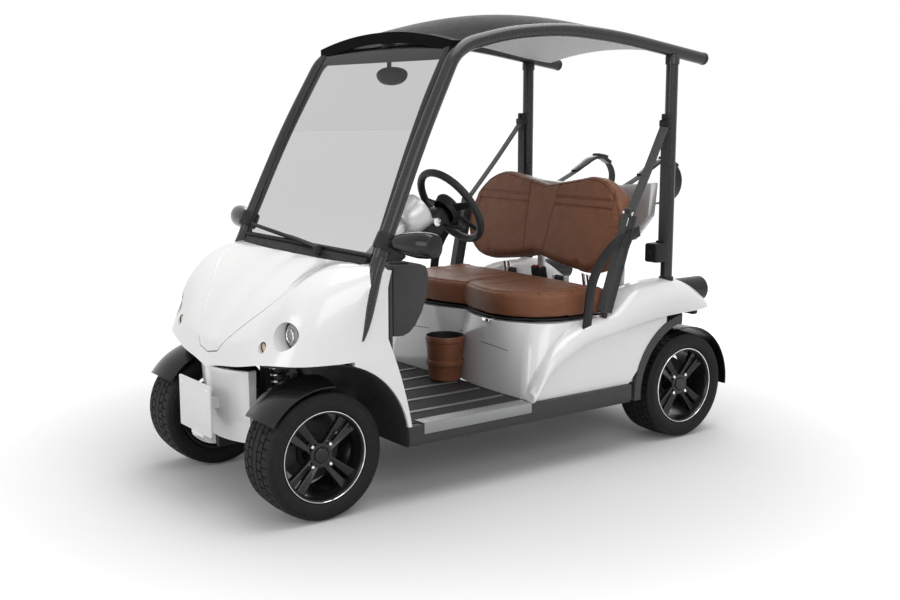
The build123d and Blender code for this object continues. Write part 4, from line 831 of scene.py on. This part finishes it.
def steering_wheel():
    shape = Shape("steering_wheel_rim")
    rim = [on_wheel(x, y) for x, y in circle(RIM_RADIUS, 96)]
    shape.sweep(rim, circle(0.0149, 16), WHEEL_LEATHER, up=COLUMN, closed=True)
    for i in range(RIM_STITCHES):
        a = 2 * math.pi * i / RIM_STITCHES
        b = a + 0.04
        shape.sweep([on_wheel(141.4 * math.cos(a), 141.4 * math.sin(a), 7.2),
                     on_wheel(141.4 * math.cos(b), 141.4 * math.sin(b), 7.2)], circle(0.0008, 5), TRIM,
                     up=COLUMN)
    for turn in (-8, 45, 135, 188):
        a = math.radians(turn)
        points = [on_wheel(r * math.cos(a), r * math.sin(a), out)
                  for r, out in ((40, -14), (90, -9), (147, -1))]
        shape.sweep(smooth_path(points, 6), rounded_section(0.03, 0.011, 0.005, 3), TRIM, up=COLUMN,
                    scales=[1.25 - 0.45 * i / 12 for i in range(13)])
    pad = [(-0.038, 0.05), (-0.01, 0.061), (-0.001, 0.0585), (0.005, 0.046), (0.008, 0.0)]
    shape.lathe(WHEEL_CENTRE, COLUMN, pad, TRIM, 48, start=WHEEL_UP)
    shape.lathe(WHEEL_CENTRE, COLUMN, [(0.005, 0.026), (0.009, 0.024), (0.0095, 0.0)], BLACK_GLOSS, 40,
                start=WHEEL_UP)
    shape.make("steering_wheel", ("steering_wheel",))


def column_pod():
    """Fat rounded housing with stalks, and the shaft down to the dash."""
    shape = Shape("steering_column_pod")
    pod = []
    for along, wide, high, lift in ((48, 60, 50, 0), (56, 88, 70, 0), (80, 112, 90, 2), (120, 116, 94, 4),
                                    (155, 100, 84, 5), (174, 70, 62, 5)):
        ring = []
        for u, v in rounded_section(wide / 1000, high / 1000, min(wide, high) / 2600, 5):
            ring.append(on_wheel(0, lift, -along) + WHEEL_RIGHT * u - WHEEL_UP * v)
        pod.append(ring)
    shape.rings(pod, TRIM)
    shape.sweep([on_wheel(0, 0, -168), on_wheel(0, 0, -466)], circle(0.027, 24), TRIM, up=(1, 0, 0))
    shape.lathe(on_wheel(0, 0, -330), COLUMN, [(-0.05, 0.027), (-0.045, 0.036), (0.045, 0.036),
                                               (0.05, 0.027)], TRIM, 32, start=WHEEL_UP)
    for side in (-1, 1):
        root = on_wheel(side * 50, 14, -92)
        tip = on_wheel(side * 146, 34, -74)
        middle = on_wheel(side * 98, 26, -88)
        shape.sweep(smooth_path([root, middle, tip], 8), circle(0.007, 12, 0.8), TRIM, up=COLUMN,
                    scales=[0.8 + 0.5 * i / 16 for i in range(17)])
        shape.lathe(tip, tip - middle, [(-0.026, 0.0085), (-0.002, 0.0095), (0.002, 0.006), (0.003, 0)], TRIM,
                    16)
    # Key barrel on the right of the pod.
    key = on_wheel(58, -18, -120)
    shape.lathe(key, WHEEL_RIGHT, [(-0.01, 0.016), (0.012, 0.016), (0.014, 0.013), (0.014, 0)], STEEL, 24)
    shape.make("cart", ("steering_column",))


def instrument_barrel():
    """Silver barrel with a bright ring and a plain dial towards the driver."""
    shape = Shape("instrument_barrel")
    near, far = at(250, 565, 1027), at(250, 480, 978)
    axis = (near - far).normalized()
    length = (near - far).length
    barrel = [(0.0, 0.0), (0.0, 0.05), (0.012, 0.061), (0.04, 0.067), (length - 0.02, 0.0725),
              (length - 0.004, 0.0735), (length, 0.0715), (length, 0.066),
              (length - 0.006, 0.064), (length - 0.006, 0.0)]
    shape.lathe(far, axis, barrel, SILVER, 64)
    shape.lathe(near, axis, [(-0.008, 0.0642), (-0.0055, 0.0638), (-0.0055, 0.0)], LENS_DARK, 64)
    for k in range(25):
        a = math.radians(-130 + 260 * k / 24)
        long = 0.009 if k % 4 == 0 else 0.005
        spoke = Vector((math.sin(a), 0, math.cos(a)))
        spoke = (spoke - axis * spoke.dot(axis)).normalized()
        shape.sweep([near - axis * 0.0052 + spoke * (0.058 - long), near - axis * 0.0052 + spoke * 0.058],
                    circle(0.0007, 4), PLATE, up=axis)
    needle = Vector((-0.6, 0.1, -0.3)).normalized()
    shape.sweep([near - axis * 0.004, near - axis * 0.004 + needle * 0.046], circle(0.0012, 6), RED, up=axis)
    shape.lathe(near - axis * 0.005, axis, [(0.0, 0.007), (0.003, 0.006), (0.0035, 0)], TRIM, 20)
    shape.sweep(smooth_path([at(250, 330, 845), at(250, 400, 905), at(250, 500, 985)], 6), circle(0.028, 24),
                SILVER, up=(1, 0, 0))
    for k in range(3):
        a = math.radians(40 + 120 * k)
        side = Vector((math.cos(a), 0, math.sin(a)))
        bolt_head(shape, far + axis * 0.06 + side * 0.0695, side, 0.004, TRIM)
    shape.make("cart", ("instrument_pod",))


steering_wheel()
column_pod()
instrument_barrel()


# ---------------------------------------------------------------- seat
def arc_points(a, b, c, steps):
    """Points of the circle's arc from a through b to c, without the last."""
    ax, ay = a
    bx, by = b
    cx, cy = c
    d = 2 * (ax * (by - cy) + bx * (cy - ay) + cx * (ay - by))
    ux = ((ax**2 + ay**2) * (by - cy) + (bx**2 + by**2) * (cy - ay) + (cx**2 + cy**2) * (ay - by)) / d
    uy = ((ax**2 + ay**2) * (cx - bx) + (bx**2 + by**2) * (ax - cx) + (cx**2 + cy**2) * (bx - ax)) / d
    radius = math.hypot(ax - ux, ay - uy)
    angles = [math.atan2(y - uy, x - ux) for x, y in (a, b, c)]
    turn = (angles[2] - angles[0]) % (2 * math.pi)
    if (angles[1] - angles[0]) % (2 * math.pi) > turn:
        turn -= 2 * math.pi
    return [(ux + radius * math.cos(angles[0] + turn * i / steps),
             uy + radius * math.sin(angles[0] + turn * i / steps)) for i in range(steps)]


def cushion_plan(inset):
    """Two-lobed plan of the seat cushion, x and distance behind the front axle, in millimetres."""
    half, front, rear, notch = 490 - inset, 900 + inset, 1350 - inset, 962 + inset
    side, bend = (half, 1140), (half - 70, 972 + inset)
    lobe_in, lobe = (110, 918 + inset), (255, front)
    right = arc_points(side, bend, lobe, 14) + arc_points(lobe, lobe_in, (0, notch), 14)
    left = arc_points((0, notch), (-110, 918 + inset), (-255, front), 14)
    left += arc_points((-255, front), (-(half - 70), 972 + inset), (-half, 1140), 14)
    corner = 26
    rear_left = [(-half, 1140), (-half, rear - corner), (-half + corner * 0.3, rear - corner * 0.3),
                 (-half + corner, rear)]
    rear_right = [(half - corner, rear), (half - corner * 0.3, rear - corner * 0.3), (half, rear - corner)]
    return right + left + rear_left + rear_right


BACK_FOOT = (1331, 729)       # backrest's lower front edge: behind the axle, height
LEAN = math.atan(0.24)
BACK_NORMAL = Vector((0, -math.cos(LEAN), math.sin(LEAN)))
BACK_UP = Vector((0, math.sin(LEAN), math.cos(LEAN)))


def on_back(x, height, out=0.0):
    """Point of the backrest: across, height along its leaning face, distance in front of the face."""
    offset = Vector((x, 0, 0)) + BACK_UP * (height - BACK_FOOT[1]) + BACK_NORMAL * out
    return at(0, *BACK_FOOT) + offset / 1000


def backrest_plan(inset):
    k = inset
    right = arc_points((0, 1108 - k), (130, 1128 - k), (260, 1152 - k), 10)
    right += arc_points((260, 1152 - k), (430 - k * 0.7, 1095 - k * 0.7), (512 - k, 940), 14)
    right += arc_points((512 - k, 940), (470 - k * 0.8, 800 + k * 0.6), (334, 729 + k), 14)
    right += arc_points((334, 729 + k), (190, 742 + k), (0, 776 + k), 14)
    left = [(-x, z) for x, z in reversed(right[1:])]
    return right + [(0, 776 + k)] + left


SOFT_WELD = 0.0001
VOXEL = 0.006
PRESSURE = 4.0
SWELL_LIMIT = 0.008            # how far the simulation may move a point
CLOTH_STEPS = 20
STRETCH_STIFFNESS, BEND_STIFFNESS = 25, 1.5


def soft_mesh(name, shape):
    """Turns a plain closed form into a filled cushion by a short cloth simulation."""
    mesh = bpy.data.meshes.new(name)
    mesh.from_pydata([tuple(v) for v in shape.verts], [], shape.faces)
    weld(mesh, SOFT_WELD)
    obj = add_object(name, mesh)
    remesh = obj.modifiers.new("remesh", "REMESH")
    remesh.mode = "VOXEL"
    remesh.voxel_size = VOXEL
    remesh.use_smooth_shade = True
    smooth = obj.modifiers.new("smooth", "SMOOTH")
    smooth.iterations = 4
    apply_modifiers(obj)
    before = read_points(obj)
    cloth = obj.modifiers.new("cloth", "CLOTH")
    cloth.settings.use_pressure = True
    cloth.settings.uniform_pressure_force = PRESSURE
    cloth.settings.effector_weights.gravity = 0
    cloth.settings.tension_stiffness = STRETCH_STIFFNESS
    cloth.settings.compression_stiffness = STRETCH_STIFFNESS
    cloth.settings.bending_stiffness = BEND_STIFFNESS
    cloth.settings.quality = 4
    scene = bpy.context.scene
    for step in range(1, CLOTH_STEPS + 1):
        scene.frame_set(step)
    apply_modifiers(obj)
    scene.frame_set(1)
    after = read_points(obj)
    moved = after - before
    length = np.linalg.norm(moved, axis=1, keepdims=True)
    capped = before + moved * np.minimum(1.0, SWELL_LIMIT / np.maximum(length, 1e-9))
    write_points(obj, capped)
    return obj


def apply_modifiers(obj):
    evaluated = obj.evaluated_get(bpy.context.evaluated_depsgraph_get())
    mesh = bpy.data.meshes.new_from_object(evaluated)
    obj.modifiers.clear()
    obj.data = mesh


def read_points(obj):
    flat = np.zeros(len(obj.data.vertices) * 3)
    obj.data.vertices.foreach_get("co", flat)
    return flat.reshape(-1, 3)


def write_points(obj, points):
    obj.data.vertices.foreach_set("co", points.astype(np.float32).ravel())
    obj.data.update()


def read_normals(obj):
    flat = np.zeros(len(obj.data.vertices) * 3)
    obj.data.vertices.foreach_get("normal", flat)
    return flat.reshape(-1, 3)


def subdivide(obj):
    modifier = obj.modifiers.new("fine", "SUBSURF")
    modifier.levels = 1
    modifier.render_levels = 1
    apply_modifiers(obj)


def distance_to_line(points, line):
    """Distance in the plane from each point to a run of straight pieces, in millimetres."""
    best = np.full(len(points), 1e9)
    for a, b in zip(line, line[1:]):
        a, b = np.array(a, float), np.array(b, float)
        d = b - a
        t = np.clip(((points - a) @ d) / max(d @ d, 1e-9), 0, 1)
        best = np.minimum(best, np.linalg.norm(points - (a + t[:, None] * d), axis=1))
    return best


def stitch_line(shape, points, gap=0.0052, length=0.0032, thick=0.00045):
    """Row of stitches along points lying on a surface."""
    run = 0.0
    for a, b in zip(points, points[1:]):
        step = (b - a).length
        if step < 1e-7:
            continue
        direction = (b - a) / step
        while run < step:
            start = a + direction * run
            end = start + direction * length
            shape.sweep([start, end], circle(thick, 5), THREAD, up=(0.3, 0.5, 0.8))
            run += gap
        run -= step


def nearest_surface(obj, points, lift):
    """Moves each point to the surface of obj and off it by lift."""
    made = []
    for p in points:
        _, spot, normal, _ = obj.closest_point_on_mesh(p)
        made.append(spot + normal * lift)
    return made


def press_seams(obj, coords, mask, lines, depth, width):
    """Presses narrow sewn grooves into the surface where the flat coordinates run along the lines."""
    points, normals = read_points(obj), read_normals(obj)
    sink = np.zeros(len(points))
    for line in lines:
        sink = np.maximum(sink, np.exp(-(distance_to_line(coords, line) / width) ** 2))
    write_points(obj, points - normals * (sink * mask * depth / 1000)[:, None])


def cover_in_leather(obj):
    mesh = obj.data
    mesh.materials.clear()
    mesh.materials.append(LEATHER)
    mesh.polygons.foreach_set("use_smooth", [True] * len(mesh.polygons))


def seat_cushion():
    shape = Shape("seat_form")
    levels = ((598, 20), (592, 9), (598, 7), (640, 5), (668, 6), (680, 10), (686, 20))
    shape.rings([[at(x, y, z) for x, y in cushion_plan(inset)] for z, inset in levels], LEATHER)
    obj = soft_mesh("seat_cushion_leather", shape)
    subdivide(obj)
    points = read_points(obj)
    coords = np.stack([points[:, 0] * 1000, (points[:, 1] - FRONT_AXLE) * 1000], axis=1)
    z = points[:, 2] * 1000
    # Crown: each seat is a little higher in its middle and dips where people sit.
    top = np.clip((z - 640) / 40, 0, 1)
    dish = np.exp(-((np.abs(coords[:, 0]) - 245) / 150) ** 2 - ((coords[:, 1] - 1150) / 120) ** 2)
    points[:, 2] -= top * dish * 0.004
    write_points(obj, points)
    rim = cushion_plan(26)
    rim.append(rim[0])
    inner = []
    for s in (-1, 1):
        inner.append([(s * 12, 1010), (s * 60, 1330)])
        inner.append([(s * 60, 1330), (s * 400, 1335)])
        inner.append([(s * 130, 1090), (s * 392, 1108)])
        inner.append([(s * 118, 1118), (s * 390, 1136)])
        inner.append([(s * 118, 985), (s * 130, 1090), (s * 92, 1330)])
        inner.append([(s * 412, 1010), (s * 392, 1108), (s * 404, 1330)])
    centre = [(0, 985), (0, 1345)]
    upper = (read_normals(obj)[:, 2] > 0.55).astype(float)
    press_seams(obj, coords, upper, [rim], 3.6, 3.2)
    press_seams(obj, coords, upper, inner, 2.6, 3.0)
    press_seams(obj, coords, upper, [centre], 5.0, 4.0)
    cover_in_leather(obj)
    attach(obj, "seat")
    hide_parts("seat_cushion")
    stitches = Shape("seat_stitching")
    for line in [rim] + inner:
        track = [Vector((x / 1000, FRONT_AXLE + y / 1000, 0.70)) for x, y in line]
        dense = []
        for a, b in zip(track, track[1:]):
            count = max(1, int((b - a).length / 0.02))
            dense += [a.lerp(b, i / count) for i in range(count)]
        dense.append(track[-1])
        offset = []
        for i, p in enumerate(dense):
            ahead = dense[min(i + 1, len(dense) - 1)] - dense[max(i - 1, 0)]
            side = ahead.cross(Vector((0, 0, 1))).normalized() * 0.0065
            offset.append(p + side)
        stitch_line(stitches, nearest_surface(obj, offset, 0.0001))
    stitches.make("seat")


def backrest():
    shape = Shape("back_form")
    levels = ((-84, 22), (-88, 12), (-76, 7), (-45, 5), (-12, 7), (-3, 13), (-1, 24))
    shape.rings([[on_back(x, z, out) for x, z in backrest_plan(inset)] for out, inset in levels], LEATHER)
    obj = soft_mesh("backrest_leather", shape)
    subdivide(obj)
    points = read_points(obj)
    origin = np.array(at(0, *BACK_FOOT))
    local = points - origin
    heights = local @ np.array(BACK_UP) * 1000 + BACK_FOOT[1]
    outs = local @ np.array(BACK_NORMAL) * 1000
    coords = np.stack([points[:, 0] * 1000, heights], axis=1)
    front = np.clip((outs + 30) / 15, 0, 1)
    # Each half is fuller in its middle than the panel between them.
    crown = np.exp(-((np.abs(coords[:, 0]) - 262) / 170) ** 2 - ((heights - 900) / 150) ** 2)
    points += np.array(BACK_NORMAL) * (front * crown * 0.007)[:, None]
    write_points(obj, points)
    lines, channels = [], []
    for s in (-1, 1):
        lines.append([(s * 60, 770), (s * 98, 1122)])
        lines.append([(s * 426, 760), (s * 432, 900), (s * 424, 1040), (s * 408, 1112)])
        channels.append([(s * 92, 1040), (s * 424, 1040)])
        channels.append([(s * 88, 1004), (s * 426, 1004)])
    facing = (read_normals(obj) @ np.array(BACK_NORMAL) > 0.5).astype(float)
    press_seams(obj, coords, facing, lines, 4.4, 3.6)
    press_seams(obj, coords, facing, channels, 6.0, 5.0)
    cover_in_leather(obj)
    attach(obj, "cart")
    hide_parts("backrest")
    stitches = Shape("backrest_stitching")
    for line in lines + channels:
        dense = []
        for a, b in zip(line, line[1:]):
            count = max(1, int(math.hypot(b[0] - a[0], b[1] - a[1]) / 20))
            for i in range(count):
                dense.append((a[0] + (b[0] - a[0]) * i / count, a[1] + (b[1] - a[1]) * i / count))
        dense.append(line[-1])
        across = (line[-1][0] - line[0][0], line[-1][1] - line[0][1])
        size = math.hypot(*across)
        dx, dz = -across[1] / size * 7, across[0] / size * 7
        track = [on_back(x + dx, z + dz, 20) for x, z in dense]
        stitch_line(stitches, nearest_surface(obj, track, 0.0001))
    stitches.make("cart")
    # Piping round the front edge of the backrest.
    piping = Shape("backrest_piping")
    edge = [on_back(x, z, 6) for x, z in backrest_plan(26)]
    track = nearest_surface(obj, edge, 0.0004)
    piping.sweep(track, circle(0.0021, 8), LEATHER_DARK, up=BACK_NORMAL, closed=True)
    piping.make("cart")


seat_cushion()
backrest()


# ---------------------------------------------------------------- belts and bag carrier
def strap(shape, points, width, thick, mat, up):
    shape.sweep(points, rounded_section(width, thick, thick * 0.45, 2), mat, up=up)


def belts():
    shape = Shape("belt_webbing")
    hardware = Shape("belt_hardware")
    ring, tongue = at(462, 1656, 1342), at(530, 1392, 985)
    anchor, low = at(505, 1290, 600), at(462, 1656, 850)
    wide, thick = 0.046, 0.002
    shoulder = smooth_path([ring, ring.lerp(tongue, 0.5) + Vector((0, 0, -0.006)), tongue], 8)
    strap(shape, shoulder, wide, thick, WEBBING, (0, -0.4, 1))
    strap(shape, [low, ring], wide, thick, WEBBING, (0, -1, 0))
    lap = smooth_path([tongue, tongue.lerp(anchor, 0.5) + Vector((0.003, 0, 0)), anchor], 8)
    strap(shape, lap, thick, wide, WEBBING, (0, 1, 0.2))
    # D ring on its swivel, reel housing, tongue and anchor plate.
    hardware.box(at(434, 1644, 1328), at(490, 1667, 1357), TRIM, 0.006)
    hardware.box(at(442, 1648, 1354), at(482, 1668, 1382), TRIM, 0.006)
    bolt_head(hardware, at(462, 1648, 1368), (0, -1, 0), 0.01, TRIM)
    hardware.box(at(426, 1587, 771), at(497, 1667, 850), TRIM, 0.01)
    hardware.box(at(438, 1640, 844), at(486, 1667, 858), TRIM, 0.004)
    bolt_head(hardware, at(461, 1587, 812), (0, -1, 0), 0.009, METAL_DARK)
    down = (anchor - tongue).normalized()
    plate = [(-0.030, 0.014), (0.030, 0.014), (0.026, -0.004), (0.012, -0.012),
             (0.011, -0.046), (-0.011, -0.046), (-0.012, -0.012), (-0.026, -0.004)]
    side = Vector((1, 0, 0))
    place = Matrix(((*side, 0), (*(-down), 0), (*side.cross(-down), 0), (0, 0, 0, 1))).transposed()
    place.translation = tongue + Vector((-0.004, -0.006, 0))
    hardware.prism(plate, 0.003, CHROME, 0.0008, place, 2)
    hardware.box(at(512, 1378, 986), at(546, 1400, 1012), GREY_TRIM, 0.005)
    anchor_bolt = [(-0.004, 0.0), (-0.004, 0.012), (0.006, 0.012), (0.01, 0.008), (0.01, 0)]
    hardware.lathe(at(505, 1290, 585), (1, 0, 0), anchor_bolt, METAL_DARK, 20)
    for s in (shape, hardware):
        s.mirrored()
    # Buckles on their stalks behind the middle of the seat, each with a red button.
    for side_sign in (-1, 1):
        foot, head = at(side_sign * 27, 1402, 574), at(side_sign * 23, 1376, 722)
        axis = (head - foot).normalized()
        hardware.sweep([foot, foot.lerp(head, 0.55)], rounded_section(0.022, 0.012, 0.004, 3), TRIM,
                       up=(0, -1, 0))
        turn = axis.to_track_quat("Z", "Y").to_matrix().to_4x4()
        turn.translation = foot.lerp(head, 0.5)
        hardware.box((-0.019, -0.011, 0), (0.019, 0.011, 0.076), TRIM, 0.005, turn)
        hardware.box((-0.014, -0.0085, 0.066), (0.014, 0.0085, 0.0785), RED, 0.002, turn)
    shape.make("cart", ("belts",))
    hardware.make("cart", ("belt_fittings",))


STRAP_ROUTE = ((1644, 1056), (1715, 1086), (1790, 1120), (1850, 1152), (1895, 1172), (1950, 1165),
               (1995, 1136), (2015, 1085), (1998, 1030), (1950, 998), (1880, 987), (1760, 993), (1644, 1000))
STRAP_X = 212


def bag_straps():
    shape = Shape("bag_strap_loops")
    for side in (-1, 1):
        x = side * STRAP_X
        route = smooth_path([at(x, y, z) for y, z in STRAP_ROUTE], 6)
        shape.sweep(route, rounded_section(0.004, 0.042, 0.0018, 2), WEBBING, up=(1, 0, 0))
        handle = smooth_path([at(x, 1770, 1116), at(x, 1825, 1144), at(x, 1880, 1172), at(x, 1935, 1176),
                              at(x, 1985, 1152)], 5)
        shape.sweep(handle, rounded_section(0.016, 0.054, 0.007, 3), BLACK_GLOSS, up=(1, 0, 0),
                    scales=[0.55 + 0.45 * math.sin(math.pi * min(1, (i + 3) / 12) * 0.5) for i in range(21)])
        turn = Matrix.Translation(at(x, 1936, 1181)) @ Matrix.Rotation(math.radians(-9), 4, "X")
        shape.box((-0.024, -0.032, -0.006), (0.024, 0.032, 0.008), TRIM, 0.004, turn)
        shape.box((-0.017, -0.024, 0.006), (0.017, 0.024, 0.0105), BLACK_GLOSS, 0.002, turn)
        shape.box(at(x - 26, 1640, 990), at(x + 26, 1654, 1072), TRIM, 0.004)
    shape.make("cart", ("bag_straps",))


belts()
bag_straps()


# ---------------------------------------------------------------- bin, latch and seams
def litter_bin():
    """Leather-covered bin with a rolled collar, a band round the middle and a dark liner."""
    shape = Shape("bin_leather")
    centre = at(10, 862, 294.5)
    outer = [(0.0, 0.0), (0.0, 0.064), (0.0036, 0.0671), (0.0557, 0.0712), (0.0592, 0.0714), (0.061, 0.0758),
             (0.0682, 0.0776), (0.0772, 0.0776), (0.0835, 0.0764), (0.0853, 0.0729), (0.0898, 0.0732),
             (0.1544, 0.0784), (0.158, 0.0784), (0.1607, 0.0811), (0.1705, 0.082), (0.1786, 0.0815),
             (0.184, 0.0793), (0.1849, 0.0776)]
    inner = [(0.1849, 0.0776), (0.1822, 0.0754), (0.1705, 0.0747), (0.0108, 0.0618), (0.0094, 0.0605),
             (0.0094, 0.0)]
    shape.lathe(centre, (0, 0, 1), outer, LEATHER, 72)
    shape.lathe(centre, (0, 0, 1), inner, BIN_INSIDE, 72)
    for h, r in ((0.0574, 0.0717), (0.0875, 0.0734), (0.1553, 0.0787)):
        count = 96
        for i in range(count):
            a, b = 2 * math.pi * i / count, 2 * math.pi * (i + 0.55) / count
            ends = [centre + Vector((math.cos(t) * r, math.sin(t) * r, h)) for t in (a, b)]
            shape.sweep(ends, circle(0.0005, 5), THREAD, up=(0, 0, 1))
    shape.make("cart", ("bin",))


def latch():
    """Small bright latch under the front edge of the cushion."""
    shape = Shape("seat_latch")
    shape.box(at(208, 900, 573), at(262, 930, 578), CHROME, 0.001)
    shape.box(at(214, 896, 564), at(256, 903, 577), CHROME, 0.0015)
    shape.make("cart")


def apron_seam():
    """Thin dark joint line across the front of the seat base."""
    shape = Shape("base_seam")
    half = [(0, 958, 483), (112, 940, 476), (224, 912, 470), (300, 915, 465), (364, 935, 459),
            (430, 965, 470), (476, 1010, 487)]
    line = [(-x, y, z) for x, y, z in reversed(half[1:])] + half
    track = nearest_surface(nodes["seat_base"], smooth_path([at(*p) for p in line], 10), 0.0)
    shape.sweep(track, circle(0.0013, 6), METAL_DARK)
    shape.make("cart")


litter_bin()
latch()
apron_seam()


# ---------------------------------------------------------------- camera, light, floor
def backdrop_ray(tree):
    """1 for camera rays and for rays seen in metal and glass, 0 for light falling on surfaces."""
    path = tree.nodes.new("ShaderNodeLightPath")
    value = path.outputs["Is Camera Ray"]
    for kind in ("Is Glossy Ray", "Is Transmission Ray"):
        either = add_node(tree, "Math", {}, {0: value, 1: path.outputs[kind]})
        either.operation = "MAXIMUM"
        value = either.outputs["Value"]
    return value


LIGHT_FROM_WORLD, BACKDROP = 0.42, 1.0
FADE_START, FADE_END = 0.9, 3.4             # distance from the cart over which the floor turns white
FLOOR_HALF = 60
# Area lamps: name, place, width, power.
SOFTBOXES = (("softbox_top", (0.4, 0.6, 4.6), 5.0, 165), ("softbox_left", (4.8, -1.2, 3.0), 3.2, 49),
             ("softbox_front", (0.6, -5.4, 2.2), 3.4, 66), ("softbox_back", (-4.5, 3.4, 3.4), 3.0, 42))
LAMPS_AIM_AT = Vector((0, 0, 0.7))


def set_world():
    world = bpy.data.worlds.new("studio")
    bpy.context.scene.world = world
    world.use_nodes = True
    tree = world.node_tree
    background = tree.nodes["Background"]
    background.inputs["Color"].default_value = (1, 1, 1, 1)
    strength = add_node(tree, "MapRange", {"To Min": LIGHT_FROM_WORLD, "To Max": BACKDROP},
                        {"Value": backdrop_ray(tree)})
    tree.links.new(strength.outputs["Result"], background.inputs["Strength"])


def lay_floor():
    """Pale floor that keeps the cart's shadow near it and turns white away from it."""
    mat = bpy.data.materials.new("studio_floor")
    mat.use_nodes = True
    tree = mat.node_tree
    bsdf = tree.nodes["Principled BSDF"]
    set_values(bsdf, {"Base Color": (0.72, 0.72, 0.72, 1), "Roughness": 0.8, "Specular IOR Level": 0.1,
                      "Emission Color": (1, 1, 1, 1)})
    coord = tree.nodes.new("ShaderNodeTexCoord")
    away = tree.nodes.new("ShaderNodeVectorMath")
    away.operation = "LENGTH"
    tree.links.new(coord.outputs["Object"], away.inputs[0])
    fade = tree.nodes.new("ShaderNodeMapRange")
    fade.interpolation_type = "SMOOTHSTEP"
    set_values(fade, {"From Min": FADE_START, "From Max": FADE_END, "To Min": 0.03, "To Max": 0.72})
    tree.links.new(away.outputs["Value"], fade.inputs["Value"])
    glow = add_node(tree, "Math", {}, {0: backdrop_ray(tree), 1: fade.outputs["Result"]})
    glow.operation = "MULTIPLY"
    tree.links.new(glow.outputs["Value"], bsdf.inputs["Emission Strength"])
    mesh = bpy.data.meshes.new("floor")
    corners = [(x * FLOOR_HALF, y * FLOOR_HALF, 0) for x, y in ((-1, -1), (1, -1), (1, 1), (-1, 1))]
    mesh.from_pydata(corners, [], [(0, 1, 2, 3)])
    mesh.materials.append(mat)
    floor = add_object("floor", mesh)


def hang_lamps():
    for name, where, width, power in SOFTBOXES:
        light = bpy.data.lights.new(name, "AREA")
        light.shape = "RECTANGLE"
        light.size = width
        light.size_y = width * 0.7
        light.energy = power
        obj = add_object(name, light)
        obj.location = where
        aim(obj, LAMPS_AIM_AT - Vector(where))


LENS_MM = 46.84
CAMERA_AT = Vector((3.853, -2.843, 1.404))
AZIMUTH, ELEVATION = math.radians(53.56), math.radians(9.30)


def set_camera():
    data = bpy.data.cameras.new("camera")
    data.lens = LENS_MM
    data.sensor_width = 36
    data.clip_start = 0.05
    data.clip_end = 300
    camera = add_object("camera", data)
    camera.location = CAMERA_AT
    look = Vector((-math.sin(AZIMUTH) * math.cos(ELEVATION), math.cos(AZIMUTH) * math.cos(ELEVATION),
                   -math.sin(ELEVATION)))
    aim(camera, look)
    bpy.context.scene.camera = camera


set_world()
lay_floor()
hang_lamps()
set_camera()
bpy.context.scene.view_settings.view_transform = "Standard"
